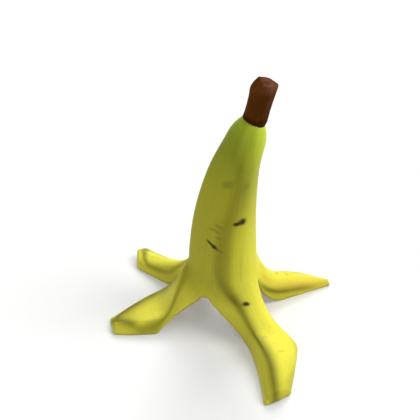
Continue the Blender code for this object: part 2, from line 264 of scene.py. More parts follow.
STROKES = (
    Stroke("front", Tint.CREASE, 1.7, (
        (-9.0, 8.0, 0.05, 4.0), (-4.0, 18.0, 0.18, 4.0), (0.5, 27.0, 0.48, 4.2),
        (2.5, 36.0, 0.62, 4.4), (1.5, 44.0, 0.56, 4.4), (-0.5, 52.0, 0.48, 4.2),
        (-3.5, 60.0, 0.42, 4.2), (-5.0, 70.0, 0.42, 4.2), (-6.2, 80.0, 0.46, 4.0),
        (-6.4, 90.0, 0.46, 3.6), (-4.0, 98.0, 0.5, 3.2), (-1.6, 104.0, 0.52, 2.8),
    )),
    Stroke("front", Tint.CREASE, 1.6, (
        (-2.0, 103.0, 0.5, 2.8), (-1.2, 112.0, 0.56, 2.7), (-0.8, 124.0, 0.66, 2.7),
        (-0.5, 132.0, 0.78, 2.7), (0.0, 140.0, 0.86, 2.5), (0.0, 148.0, 0.8, 2.5),
        (-0.4, 158.0, 0.78, 2.6), (-0.7, 166.0, 0.78, 2.6), (-0.7, 176.0, 0.66, 2.6),
    )),
    Stroke("front", Tint.CREASE, 1.0, (
        (-4.5, 148.0, 0.03, 3.5), (-4.5, 158.0, 0.16, 3.5), (-4.5, 176.0, 0.26, 3.5),
    )),
    Stroke("front", Tint.SHADE, 1.0, (
        (14.0, 158.0, 0.3, 9.0), (13.0, 168.0, 0.85, 10.0), (12.0, 184.0, 0.95, 11.0),
    )),
    Stroke("front", Tint.SHADE, 1.0, (
        (24.0, 118.0, 0.35, 4.0), (26.0, 134.0, 0.6, 4.0), (24.0, 156.0, 0.5, 4.0),
    )),
    Stroke("right", Tint.CREASE, 1.3, (
        (-20.5, 103.0, 0.45, 2.2), (-18.0, 107.5, 0.76, 2.2), (-16.2, 111.5, 0.82, 2.2),
        (-14.3, 116.0, 0.84, 2.2), (-12.6, 120.5, 0.8, 2.2), (-11.4, 126.0, 0.72, 2.3),
        (-9.8, 132.0, 0.68, 2.3), (-8.6, 139.0, 0.55, 2.2), (-7.2, 148.0, 0.12, 2.0),
    )),
    Stroke("right", Tint.SHADE, 1.0, (
        (2.0, 98.0, 0.6, 4.0), (7.0, 108.0, 0.5, 5.0), (9.0, 138.0, 0.55, 5.0),
    )),
    Stroke("right", Tint.SHADE, 1.0, (
        (-22.0, 103.0, 0.8, 4.0), (-18.5, 116.0, 0.7, 3.6), (-14.5, 134.0, 0.6, 3.4),
    )),
    Stroke("right", Tint.WARM, 1.0, (
        (-7.5, 97.0, 0.3, 3.0), (-10.5, 103.5, 0.75, 2.7), (-10.5, 109.0, 0.6, 3.0),
        (-8.8, 117.0, 0.78, 3.8), (-7.0, 130.0, 0.92, 4.5), (-5.5, 142.0, 0.95, 4.5),
        (-4.0, 154.0, 0.9, 4.5),
    )),
    Stroke("back", Tint.CREASE, 1.0, (
        (1.6, 106.0, 0.45, 2.6), (3.2, 112.3, 0.42, 1.9), (4.4, 116.7, 0.36, 1.6),
        (6.0, 121.2, 0.36, 1.6), (7.5, 125.0, 0.4, 1.7), (8.6, 128.5, 0.42, 1.8),
        (8.9, 134.0, 0.52, 2.0), (8.5, 141.0, 0.52, 2.0), (7.6, 147.0, 0.52, 2.0),
        (4.5, 151.0, 0.72, 2.2), (1.0, 153.0, 0.82, 2.4), (-3.0, 157.5, 0.82, 2.4),
        (-5.0, 161.0, 0.7, 2.4),
    )),
    Stroke("back", Tint.SHADE, 1.0, (
        (-6.0, 124.0, 0.3, 3.0), (-7.5, 140.0, 0.65, 3.2), (-8.0, 160.0, 0.85, 3.5),
    )),
    Stroke("left", Tint.CREASE, 1.0, (
        (-1.0, 97.0, 0.03, 3.4), (0.8, 101.5, 0.3, 3.6), (2.2, 106.0, 0.34, 3.2),
        (2.3, 110.5, 0.45, 3.0), (2.4, 117.0, 0.56, 3.0), (1.8, 124.0, 0.56, 3.0),
        (2.8, 132.0, 0.6, 2.9), (5.2, 140.0, 0.62, 2.8), (6.8, 148.0, 0.4, 2.4),
    )),
    Stroke("left", Tint.CREASE, 1.0, (
        (-4.5, 103.0, 0.1, 3.0), (-7.8, 109.0, 0.66, 3.6), (-18.5, 117.0, 0.85, 5.0),
        (-24.5, 122.5, 0.88, 5.6), (-29.5, 128.0, 0.88, 6.0), (-30.0, 135.0, 0.78, 6.0),
    )),
    Stroke("left", Tint.CREASE, 1.0, (
        (-26.0, 138.0, 0.6, 5.0), (-20.5, 144.5, 0.8, 5.0), (-15.5, 151.0, 0.88, 5.2),
        (-9.0, 155.5, 0.92, 5.4), (-3.0, 155.0, 0.88, 4.8), (2.0, 149.0, 0.66, 3.2),
    )),
    Stroke("left", Tint.SHADE, 1.0, (
        (9.0, 117.0, 0.3, 4.0), (8.5, 128.0, 0.6, 4.5), (9.0, 152.0, 0.55, 4.5),
    )),
    Stroke("left", Tint.SHADE, 1.0, (
        (-24.0, 136.0, 0.2, 6.0), (-14.0, 146.0, 0.7, 6.0), (-4.0, 150.0, 0.7, 6.0),
    )),
)


@dataclass(frozen=True)
class Body:
    """The upright part of the fruit: a round tube on a bent middle line, with ridges and faces.

    Lengths are in millimetres and angles in degrees.
    """

    start_x: float = -1.8
    start_lean: float = -6.2
    bend: float = 36.0
    bend_from: float = 4.5
    bend_to: float = 150.0
    bend_power: float = 1.27
    girth_heights: tuple[float, ...] = (0.0, 30.0, 60.0, 90.0, 114.0)
    girth_radii: tuple[float, ...] = (20.1, 19.5, 17.5, 14.0, 10.2)
    # Share of the way from the neck to the stem's base, and the radius over the stem's there
    neck_closing: tuple[Pair, ...] = ((0.96, -0.6), (0.8, 0.75))
    ridge_rise: float = 1.1
    ridge_width: float = 12.0
    ridge_start: float = 22.0
    face_dip: float = 1.4
    # Azimuth, and the share of painted shade there
    shade_round: tuple[Pair, ...] = (
        (-180.0, 1.0), (-120.0, 1.0), (-84.0, 0.86), (-60.0, 0.52), (-35.0, 0.16), (-10.0, 0.0),
        (30.0, 0.12), (70.0, 0.45), (110.0, 0.62), (150.0, 0.92), (180.0, 1.0),
    )
    shade_from: float = 96.0
    shade_to: float = 117.0
    sampled: Pair = (-10.0, 180.0)
    sample_step: float = 0.5

    def shade(self, fruit: Array) -> Array:
        """The share of painted shade at points on the straight fruit, most on the left side: none
        on the strips.
        """
        azimuth = np.degrees(np.arctan2(fruit[..., 1], fruit[..., 0]))
        around, shares = np.array(self.shade_round).T
        ending = ease((fruit[..., 2] - self.shade_from) / (self.shade_to - self.shade_from))
        return np.interp(azimuth, around, shares) * (1.0 - ending)

    @property
    def neck(self) -> float:
        """Length along the middle line from the floor to the neck."""
        return self.girth_heights[-1]

    def midline(self, height: Array) -> tuple[Array, Array]:
        """The bent middle line.

        Args:
            height: Lengths along it from the floor.

        Returns:
            Its points there, and its lean towards +X in radians.
        """
        step = self.sample_step
        along = np.arange(*self.sampled, step)
        share = np.clip((along - self.bend_from) / (self.bend_to - self.bend_from), 0.0, None)
        lean = np.radians(self.start_lean + self.bend * share**self.bend_power)
        x = np.cumsum(np.sin(lean)) * step
        z = np.cumsum(np.cos(lean)) * step
        x += self.start_x - np.interp(0.0, along, x)
        z -= np.interp(0.0, along, z)
        at = [np.interp(height, along, values) for values in (x, z, lean)]
        return np.column_stack([at[0], np.zeros_like(at[0]), at[1]]), at[2]

    def girth(self, height: Array) -> Array:
        """The radius at lengths along the middle line."""
        height = np.clip(height, 0.0, self.neck)
        return blend_through(self.girth_heights, self.girth_radii, height)[0][:, 0]

    @staticmethod
    def around(centre: Array, lean: Array, azimuth: Array, radius: Array) -> Array:
        """Points round a centre, in the plane square to a middle line with that lean."""
        side = np.column_stack([np.cos(lean), np.zeros_like(lean), -np.sin(lean)])
        away = np.array([0.0, 1.0, 0.0])
        radius = radius[:, None]
        return centre + radius * (np.cos(azimuth)[:, None] * side + np.sin(azimuth)[:, None] * away)

    def ridge(self, off_crest: Array) -> Array:
        """How far the skin stands out at angles off the middle of its strip."""
        return self.ridge_rise * np.exp(-((np.degrees(off_crest) / self.ridge_width) ** 2))

    def dip(self, index: int, off_crest: Array) -> Array:
        """How far the faces beside a strip's ridge lie in from round."""
        turns = [
            (STRIPS[(i + 1) % len(STRIPS)].crest_azimuth - STRIPS[i].crest_azimuth) % 360.0
            for i in (index - 1, index)
        ]
        turn = np.where(off_crest < 0.0, *turns)
        return self.face_dip * (turn / 90.0) * np.sin(np.pi * np.degrees(off_crest) / turn) ** 2

    def ring(self, height: Array, azimuth: Array, relief: Array) -> Array:
        """Points of the outer skin at a length along the body for each azimuth."""
        centre, lean = self.midline(height)
        risen = ease((self.neck - height) / self.ridge_start)
        return self.around(centre, lean, azimuth, self.girth(height) + risen * relief)


class Layer(IntEnum):
    """The three kinds of surface of the skin, in the order of the mesh's materials."""

    OUTSIDE = 0
    FLESH = 1
    TORN = 2


@dataclass(frozen=True)
class Grid:
    """Rows of points of the outer skin, with what its finishes need to know at each point.

    fruit is the point on a straight, even fruit; tints how strong each tint is there; edge the
    distance to the torn edge; and on_strip says whether the rows are a torn strip's.
    """

    points: Array
    fruit: Array
    tints: dict[Tint, Array]
    edge: Array
    on_strip: bool
    thickness: Array


@dataclass
class Skin:
    """The peel's skin: outer side, torn edges and the pale flesh inside.

    The strips' thicknesses are shares of the body's, and other lengths are in millimetres.
    """

    body: Body
    thickness: float = 2.8
    fold_thickness: float = 0.85
    tip_thickness: float = 0.4
    tip_thinning_power: float = 4.0
    thickest_for_width: float = 0.17
    edge_thinning: float = 0.35
    crest_thinning: float = 0.35
    crest_thinning_width: float = 0.3
    thinning_rows: float = 8.0
    edge_height: float = 0.45
    lowest_point: float = 0.15
    ridge_at_tip: float = 0.4
    run_up: float = 0.5
    nose_narrowing: float = 0.22
    nose_least_rise: float = 0.12
    nose_rounding: float = 0.7
    tear_rounding: float = 1.1
    shoulder_reach: float = 3.0
    collar_reach: float = 2.0
    fruit_radius: float = 17.0
    profile_points: int = 400
    profile_height_share: float = 0.7
    columns_per_half: int = 22
    gap_columns: int = 3
    plug_row: int = 10
    shoulder_rows: int = 9
    body_rows: int = 84
    body_row_spacing: float = 1.15
    fold_rows: int = 34
    floor_rows: int = 42
    nose_rows: int = 7
    softening_passes: int = 26
    softening_reach: float = 6.0
    softening_share: float = 0.5
    dents: Wave = Wave(0.3, (13.0, 13.0, 24.0), 3.1)
    ribs: Wave = Wave(0.07, (2.2, 2.2, 30.0), 7.7)
    relief_from: float = 6.0
    relief_over: float = 16.0
    wrinkles: Wave = Wave(0.13, (9.0, 9.0, 2.4), 5.3)
    wrinkles_at: float = 104.0
    wrinkles_reach: float = 12.0

    def places(self) -> Array:
        """The columns of one strip, from -1 at its first edge to 1 at its second."""
        return np.linspace(-1.0, 1.0, 2 * self.columns_per_half + 1)

    def spread(self, values: Point) -> Array:
        """A column of values across a strip, from its first edge, crest and second edge."""
        first_edge, crest, second_edge = values
        across = self.places()
        edge = np.where(across < 0.0, first_edge, second_edge)
        return (crest + (edge - crest) * across**2)[:, None]

    def root(self, index: int) -> tuple[Array, Array, Array, Array]:
        """Where a strip leaves the body.

        Args:
            index: The strip's number.

        Returns:
            Azimuths, reliefs, heights and angles off the strip's middle, all angles in radians.
        """
        strip, before, after = STRIPS[index], TEARS[index], TEARS[(index + 1) % len(TEARS)]
        start = before.azimuth + before.half_gap
        end = after.azimuth - after.half_gap + (360.0 if index == len(STRIPS) - 1 else 0.0)
        across = self.places()
        half_width = np.where(across < 0.0, strip.crest_azimuth - start, end - strip.crest_azimuth)
        off_crest = np.radians(half_width * across)
        edge_height = before.height + (after.height - before.height) * ease((across + 1.0) / 2.0)
        height = edge_height + strip.fold_rise * (1.0 - across**2)
        relief = self.body.ridge(off_crest) - self.body.dip(index, off_crest)
        return np.radians(strip.crest_azimuth) + off_crest, relief, height, off_crest

    def half_profile(self, squareness: float) -> tuple[Array, Array]:
        """Even points down one side of a strip's cut: shares of the way out and of the height."""
        angle = np.linspace(0.0, np.pi / 2, self.profile_points)
        out = np.sin(angle) ** (2.0 / squareness)
        up = np.cos(angle) ** (2.0 / squareness)
        length = running(np.hypot(np.diff(out), self.profile_height_share * np.diff(up)))
        even = np.linspace(0.0, length[-1], self.columns_per_half + 1)
        return np.interp(even, length, out), np.interp(even, length, up)

    def section(
        self, first: Array, crest: Array, rise: float, second: Array, strip: Strip
    ) -> Array:
        """The outer skin across a strip, from its first edge over the crest to its second."""
        first_out, first_up = self.half_profile(strip.squareness[0])
        second_out, second_up = self.half_profile(strip.squareness[1])
        first_side = crest + np.outer(first_out, first - crest)
        second_side = crest + np.outer(second_out, second - crest)
        plan = np.concatenate([first_side[::-1], second_side[1:]])
        height = self.edge_height + rise * np.concatenate([first_up[::-1], second_up[1:]])
        return np.column_stack([plan, height])

    def floor_sections(self, strip: Strip) -> list[Array]:
        """The strip's sections from just before it lands to its tip, then its rounded nose."""
        firsts, crests, seconds = (
            np.array([getattr(section, name) for section in strip.sections])
            for name in ("first_edge", "crest", "second_edge")
        )
        rises = np.array([section.rise for section in strip.sections])
        along = running(np.linalg.norm(np.diff(crests, axis=0), axis=1))
        places = np.concatenate([[-self.run_up], np.linspace(0.0, along[-1], self.floor_rows + 1)])
        (first, _), (crest, heading), (second, _), (rise, _) = (
            blend_through(along, values, places) for values in (firsts, crests, seconds, rises)
        )
        cuts = zip(first, crest, rise[:, 0], second)
        rows = [self.section(*cut, strip) for cut in cuts]
        tip, forward = crest[-1], unit(heading[-1])
        for step in range(1, self.nose_rows + 1):
            turn = 0.5 * np.pi * step / self.nose_rows
            centre = tip + forward * strip.nose * np.sin(turn)
            narrowing = 1.0 - self.nose_narrowing * (1.0 - np.cos(turn))
            standing = max(np.cos(turn), 0.0) ** self.nose_rounding
            standing = self.nose_least_rise + (1.0 - self.nose_least_rise) * standing
            edges = [centre + (edge - tip) * narrowing for edge in (first[-1], second[-1])]
            rows.append(self.section(edges[0], centre, rise[-1, 0] * standing, edges[1], strip))
        return rows

    def strip_points(self, index: int) -> Array:
        """The outer skin of one strip, row by row, from just below its fold to its nose."""
        strip = STRIPS[index]
        azimuth, relief, height, off_crest = self.root(index)
        root = self.body.ring(height, azimuth, relief)
        down = unit(root - self.body.ring(height + 1.0, azimuth, relief))
        before, landing, *rest = self.floor_sections(strip)
        outward = (landing - root) * [1.0, 1.0, 0.0]
        fold = np.radians(self.spread(strip.fold_angles))
        leaving = down * np.cos(fold) + unit(outward) * np.sin(fold)
        arriving = unit(landing - before)
        distance = np.linalg.norm(landing - root, axis=1, keepdims=True)
        handle_a = root + leaving * distance * self.spread(strip.leaving)
        handle_b = landing - arriving * distance * self.spread(strip.arriving)
        rows = []
        for step in range(1, self.fold_rows + 1):
            t = step / self.fold_rows
            rows.append(
                (1 - t) ** 3 * root
                + 3 * (1 - t) ** 2 * t * handle_a
                + 3 * (1 - t) * t**2 * handle_b
                + t**3 * landing
            )
        rows += rest
        lift = np.outer(self.body.ridge(off_crest), [0.0, 0.0, 1.0])
        fade = np.linspace(1.0, self.ridge_at_tip, len(rows))
        return np.array([row + lift * share for row, share in zip(rows, fade)])

    def body_points(self, azimuth: Array, relief: Array, height: Array) -> Array:
        """The body's outer skin from the neck's top to the fold line, a column per azimuth."""
        ones = np.ones_like(azimuth)
        closing = STEM_BASE_HEIGHT - self.body.neck
        rows = []
        for share, wider in self.body.neck_closing:
            centre, lean = self.body.midline(ones * (self.body.neck + closing * share))
            rows.append(self.body.around(centre, lean, azimuth, (STEM_BASE_RADIUS + wider) * ones))
        for drop in (0.0, self.shoulder_reach):
            rows.append(self.body.ring((self.body.neck - drop) * ones, azimuth, relief))
        fall = closing * self.body.neck_closing[0][0]
        knots = [0.0, self.collar_reach, fall, fall + self.shoulder_reach]
        places = np.linspace(0.0, fall, self.shoulder_rows)[:-1]
        shoulder = [blend_through(knots, column, places)[0] for column in zip(*rows)]
        rows = list(np.array(shoulder).transpose(1, 0, 2))
        for step in range(self.body_rows + 1):
            level = self.body.neck + (height - self.body.neck) * step / self.body_rows
            rows.append(self.body.ring(level, azimuth, relief))
        return np.array(rows)

    def gap(self, index: int) -> tuple[Array, Array, Array]:
        """The columns of the body over the tear before a strip, whose foot is round.

        Args:
            index: The strip's number.

        Returns:
            Azimuths in radians, reliefs and heights of the tear's top.
        """
        turn = 360.0 if index == 0 else 0.0
        before, after = self.root((index - 1) % len(STRIPS)), self.root(index)
        share = np.arange(1, self.gap_columns + 1) / (self.gap_columns + 1)
        start, end = before[0][-1], after[0][0] + math.radians(turn)
        azimuth = start + (end - start) * share
        relief = before[1][-1] + (after[1][0] - before[1][-1]) * share
        height = before[2][-1] + (after[2][0] - before[2][-1]) * share
        return azimuth, relief, height + self.tear_rounding * np.sin(np.pi * share)

    def soften_fold(self, column_rows: Array, fold_row: int) -> Array:
        """Rounds the fold where a strip leaves the body, and leaves the rest as it is."""
        away = (np.arange(len(column_rows)) - fold_row) / self.softening_reach
        weight = np.exp(-(away**2))[:, None, None] * self.softening_share
        weight[0] = weight[-1] = 0.0
        points = column_rows.copy()
        for _ in range(self.softening_passes):
            middle = points.copy()
            middle[1:-1] = (points[:-2] + points[2:]) / 2.0
            points += (middle - points) * weight
        return points

    def strip_shares(self, towards_tip: float, width: float) -> Array:
        """Shares of the skin's thickness at the places across a strip."""
        drop = (self.tip_thickness - self.fold_thickness) * towards_tip**self.tip_thinning_power
        most = min(self.fold_thickness + drop, self.thickest_for_width * width / self.thickness)
        across = self.places()
        thinning = self.edge_thinning * np.abs(across) ** 3
        thinning += self.crest_thinning * np.exp(-((across / self.crest_thinning_width) ** 2))
        return most * (1.0 - thinning)

    def fruit_points(self, azimuth: Array, points: Array) -> Array:
        """The same points on a straight, even fruit, so that growth lines run down it."""
        fall = running(np.linalg.norm(np.diff(points, axis=0), axis=2))
        x = self.fruit_radius * np.cos(azimuth) * np.ones_like(fall)
        y = self.fruit_radius * np.sin(azimuth) * np.ones_like(fall)
        return np.stack([x, y, fall], axis=2)

    def off_ridge(self, points: Array) -> Array:
        """Distance along the skin from the strip's ridge, below zero towards its first edge."""
        across = running(np.linalg.norm(np.diff(points, axis=1), axis=2), axis=1)
        return across - across[:, self.columns_per_half][:, None]

    def tints(self, fruit: Array, index: int | None, off_ridge: Array) -> dict[Tint, Array]:
        """How strong each tint is on a strip and the part of the body above it.

        Args:
            fruit: The points on the straight fruit.
            index: The strip's number, or none over a tear.
            off_ridge: Distances from the strip's ridge.

        Returns:
            Strengths from 0 to 1 for each tint.
        """
        clear = {tint: np.ones(off_ridge.shape) for tint in Tint}
        clear[Tint.SHADE] -= self.body.shade(fruit)
        for stroke in STROKES:
            if index is not None and stroke.strip == STRIPS[index].name:
                clear[stroke.tint] *= 1.0 - stroke.share(off_ridge, fruit[:, :, 2])
        return {tint: 1.0 - share for tint, share in clear.items()}

    def strip_grid(self, index: int) -> tuple[Grid, Grid]:
        """One strip's columns, from the neck down.

        Args:
            index: The strip's number.

        Returns:
            Its part of the body, and the torn strip whose first row is the body's last.
        """
        azimuth, relief, height, _ = self.root(index)
        body = self.body_points(azimuth, relief, height)
        fold_row = len(body) - 1
        points = self.soften_fold(np.concatenate([body, self.strip_points(index)]), fold_row)
        points = np.maximum(points, [-np.inf, -np.inf, self.lowest_point])
        fruit = self.fruit_points(azimuth, points)
        off_ridge = self.off_ridge(points)
        widths = off_ridge[:, -1] - off_ridge[:, 0]
        rows = len(points) - 1 - fold_row
        to_side = np.minimum(off_ridge - off_ridge[:, :1], off_ridge[:, -1:] - off_ridge)
        edge = np.minimum(to_side, fruit[-1:, :, 2] - fruit[:, :, 2])
        to_fold = np.arange(fold_row, -1, -1)[:, None] * self.body_row_spacing
        body_edge = np.hypot(to_side[: fold_row + 1], to_fold)
        shares = np.array(
            [
                1.0 + (self.strip_shares(i / rows, width) - 1.0) * ease(i / self.thinning_rows)
                for i, width in enumerate(widths[fold_row:])
            ]
        )
        body_shares = np.ones((fold_row + 1, points.shape[1]))
        tints = self.tints(fruit, index, off_ridge)
        upper, lower = slice(0, fold_row + 1), slice(fold_row, None)
        above, below = (
            {tint: share[part] for tint, share in tints.items()} for part in (upper, lower)
        )
        return (
            Grid(points[upper], fruit[upper], above, body_edge, False, body_shares),
            Grid(points[lower], fruit[lower], below, edge[lower], True, shares),
        )

    def gap_grid(self, index: int) -> Grid:
        """The columns of the body over the tear before a strip."""
        azimuth, relief, height = self.gap(index)
        points = self.body_points(azimuth, relief, height)
        fruit = self.fruit_points(azimuth, points)
        above = fruit[-1:, :, 2] - fruit[:, :, 2]
        ones = np.ones_like(above)
        return Grid(points, fruit, self.tints(fruit, None, ones), above, False, ones)

    def detail(self, grid: Grid) -> Array:
        """How far each point stands out from the plain skin: dents, long ribs and fold wrinkles."""
        fruit, fall = grid.fruit, grid.fruit[:, :, 2]
        relief = self.dents.over(fruit) + self.ribs.over(fruit)
        relief *= ease((fall - self.relief_from) / self.relief_over)
        if grid.on_strip:
            bent = np.exp(-(((fall - self.wrinkles_at) / self.wrinkles_reach) ** 2))
            relief += self.wrinkles.over(fruit) * bent
        return relief

    def build(self) -> bpy.types.Object:
        """Makes the skin as one mesh: outer side, flesh and the torn edge that joins them."""
        sheet = SkinMesh(self)
        columns: list[tuple[Grid, int | None]] = []
        strips: list[Grid] = []
        for index in range(len(STRIPS)):
            columns.append((self.gap_grid(index), None))
            upper, lower = self.strip_grid(index)
            columns.append((upper, index))
            strips.append(lower)
        sheet.add_body(columns)
        for index, grid in enumerate(strips):
            sheet.add_strip(index, grid)
        return sheet.finish("peel_skin")


def join_rows(
    mesh: bmesh.types.BMesh,
    rows: list[list[Vertex]],
    closed: bool = True,
    flipped: bool = False,
    layer: Layer = Layer.OUTSIDE,
) -> None:
    """Adds faces between each row of vertices and the next.

    Args:
        mesh: The mesh that the vertices are in.
        rows: As many vertices in each.
        closed: Whether a row's last vertex joins its first.
        flipped: Whether the faces look the other way.
        layer: The kind of surface they are.
    """
    for near, far in zip(rows, rows[1:]):
        for i in range(len(near) if closed else len(near) - 1):
            j = (i + 1) % len(near)
            inner, outer = (near[j], far[i]) if not flipped else (far[i], near[j])
            mesh.faces.new((near[i], inner, far[j], outer)).material_index = layer


class SkinMesh:
    """Puts the skin's grids together into one mesh and gives it thickness."""

    FIELDS = ("edge", "depth", *(tint.value for tint in Tint))
    # Stands for the row of every vertex on a strip
    BELOW_FOLD = 1000
    FLOOR_CLEARANCE = 0.02
    # Along the torn edge: its unevenness, how far that goes outwards near the floor, and how many
    # of the neighbours on the sheet follow it, each by a share of the one before
    RAGGED = (Wave(0.33, (4.0, 4.0, 4.5), 11.0), Wave(0.22, (1.2, 1.2, 1.5), 2.0))
    RAGGED_NEAR_FLOOR = 0.15
    NEAR_FLOOR = 2.0
    NEIGHBOURS = 4
    NEIGHBOUR_SHARE = 0.6
    # Under the neck: the share of the rim's radius, and how far below the rim
    DOME = ((0.9, -0.7), (0.72, -0.9), (0.5, -0.3), (0.3, 0.6), (0.12, 1.1))
    # Across the torn edge: the share of the thickness, how far it stands out, and its seed
    BULGE = ((0.22, 0.28, 20.0), (0.5, 0.36, 23.0), (0.8, 0.22, 26.0))
    SHRED_HEIGHT = 0.16
    SHRED_SPACING = (0.9, 0.9, 1.1)

    def __init__(self, skin: Skin) -> None:
        """Starts an empty mesh with the fields that the finishes read."""
        self.skin = skin
        self.mesh = bmesh.new()
        self.fields = {name: self.mesh.verts.layers.float.new(name) for name in self.FIELDS}
        self.fruit = self.mesh.verts.layers.float_vector.new("fruit")
        self.stand_out: list[float] = []
        self.shares: list[float] = []
        self.rows_down: list[int] = []
        self.fold_line: dict[int, list[Vertex]] = {}

    def vertex(self, grid: Grid, stand_out: Array, row: int, column: int) -> Vertex:
        """A new vertex of the outer side for one place of a grid."""
        made = self.mesh.verts.new(grid.points[row, column])
        made[self.fields["edge"]] = grid.edge[row, column]
        made[self.fruit] = grid.fruit[row, column]
        for tint, shares in grid.tints.items():
            made[self.fields[tint.value]] = shares[row, column]
        self.stand_out.append(float(stand_out[row, column]))
        self.shares.append(float(grid.thickness[row, column]))
        self.rows_down.append(self.BELOW_FOLD if grid.on_strip else row)
        return made

    def copy(self, source: Vertex, place: Array, depth: float) -> Vertex:
        """A new vertex with another's fields, and how deep in the skin it is."""
        made = self.mesh.verts.new(place)
        for layer in (*self.fields.values(), self.fruit):
            made[layer] = source[layer]
        made[self.fields["depth"]] = depth
        return made

    def add_body(self, columns: list[tuple[Grid, int | None]]) -> None:
        """Adds the closed tube of the body."""
        details = [self.skin.detail(grid) for grid, _ in columns]
        rows: list[list[Vertex]] = []
        for row in range(len(columns[0][0].points)):
            made: list[Vertex] = []
            for (grid, index), detail in zip(columns, details):
                part = [self.vertex(grid, detail, row, c) for c in range(grid.points.shape[1])]
                if index is not None:
                    self.fold_line[index] = part
                made += part
            rows.append(made)
        join_rows(self.mesh, rows, flipped=True)

    def add_strip(self, index: int, grid: Grid) -> None:
        """Adds one strip below the body's fold line."""
        detail = self.skin.detail(grid)
        rows = [self.fold_line[index]]
        for row in range(1, len(grid.points)):
            rows.append([self.vertex(grid, detail, row, c) for c in range(grid.points.shape[1])])
        join_rows(self.mesh, rows, closed=False, flipped=True)

    def torn_loop(self) -> list[Vertex]:
        """The vertices along the torn edge, in order."""
        start = self.fold_line[0][0]
        loop = [start]
        previous = None
        while True:
            at = loop[-1]
            ahead = [e.other_vert(at) for e in at.link_edges if e.is_boundary]
            following = next(v for v in ahead if v is not previous)
            if following is start:
                return loop
            previous = at
            loop.append(following)

    def finish(self, name: str) -> bpy.types.Object:
        """Gives the sheet its thickness and returns the piece."""
        mesh, skin = self.mesh, self.skin
        mesh.verts.index_update()
        mesh.normal_update()
        outer, outer_faces = list(mesh.verts), list(mesh.faces)
        points = np.array([v.co[:] for v in outer])
        normals = np.array([v.normal[:] for v in outer])
        fruit = np.array([v[self.fruit][:] for v in outer])
        inside = [
            point - normal * skin.thickness * share
            for point, normal, share in zip(points, normals, self.shares)
        ]
        loop = self.torn_loop()
        away = self.away_from_sheet(loop)
        self.tear_edges(loop, away, points, fruit)
        for vertex, normal, detail in zip(outer, normals, self.stand_out):
            vertex.co = Vector(points[vertex.index] + normal * detail)
        first = next(i for i, row in enumerate(self.rows_down) if row >= skin.plug_row)
        inner = self.add_flesh(outer, outer_faces, inside, first)
        self.add_torn_edge(loop, away, inner)
        for vertex in mesh.verts:
            vertex.co.z = max(vertex.co.z, self.FLOOR_CLEARANCE)
        return make_piece(name, mesh)

    def away_from_sheet(self, loop: list[Vertex]) -> Array:
        """At each vertex of the torn edge, the way out of the sheet in its own surface."""
        points = np.array([v.co[:] for v in loop])
        normals = np.array([v.normal[:] for v in loop])
        along = unit(np.roll(points, -2, axis=0) - np.roll(points, 2, axis=0))
        away = unit(np.cross(along, normals))
        inwards = np.array(
            [np.mean([f.calc_center_median()[:] for f in v.link_faces], axis=0) for v in loop]
        )
        wrong = ((inwards - points) * away).sum(axis=1) > 0.0
        away[wrong] *= -1.0
        return away

    def tear_edges(self, loop: list[Vertex], away: Array, points: Array, fruit: Array) -> None:
        """Moves the torn edge in and out of its line, and its neighbours with it.

        Args:
            loop: The torn edge.
            away: The way out of the sheet at each of its vertices.
            points: The outer side's points, which are moved.
            fruit: Where each of them is on the straight fruit.
        """
        at = np.array([fruit[v.index] for v in loop])
        shifts = sum(wave.over(at) for wave in self.RAGGED)
        moved: dict[int, tuple[float, Array]] = {}
        for vertex, out, shift in zip(loop, away, shifts):
            shift = min(shift, self.RAGGED_NEAR_FLOOR) if vertex.co.z < self.NEAR_FLOOR else shift
            ring, share, seen = [vertex], 1.0, {vertex.index}
            for _ in range(self.NEIGHBOURS):
                for near in ring:
                    kept = moved.get(near.index, (0.0, out))
                    if share > kept[0]:
                        moved[near.index] = (share, out * shift * share)
                onward = [e.other_vert(v) for v in ring for e in v.link_edges]
                ring = [v for v in dict.fromkeys(onward) if v.index not in seen]
                seen.update(v.index for v in ring)
                share *= self.NEIGHBOUR_SHARE
        for index, (_, shift) in moved.items():
            points[index] += shift

    def add_flesh(
        self,
        outer: list[Vertex],
        faces: list[bmesh.types.BMFace],
        inside: list[Array],
        first: int,
    ) -> dict[int, Vertex]:
        """Adds the inner side, which ends under the neck in a shallow dome.

        Args:
            outer: The outer side's vertices.
            faces: Its faces.
            inside: The inner side's point for each of them.
            first: The number of the first vertex that has an inner one.

        Returns:
            The inner vertex for each outer vertex's number.
        """
        inner = {v.index: self.copy(v, inside[v.index], 1.0) for v in outer[first:]}
        for face in faces:
            corners = [inner.get(v.index) for v in face.verts]
            if all(corners):
                self.mesh.faces.new(reversed(corners)).material_index = Layer.FLESH
        count = self.skin.columns_per_half * 2 + 1 + self.skin.gap_columns
        rim = [inner[i] for i in range(first, first + count * len(STRIPS))]
        places = np.array([v.co[:] for v in rim])
        centre = places.mean(axis=0)
        rows = [rim]
        for share, drop in self.DOME:
            spots = centre + (places - centre) * share - [0.0, 0.0, drop]
            rows.append([self.copy(vertex, spot, 1.0) for vertex, spot in zip(rim, spots)])
        join_rows(self.mesh, rows, layer=Layer.FLESH)
        self.mesh.faces.new(rows[-1]).material_index = Layer.FLESH
        return inner

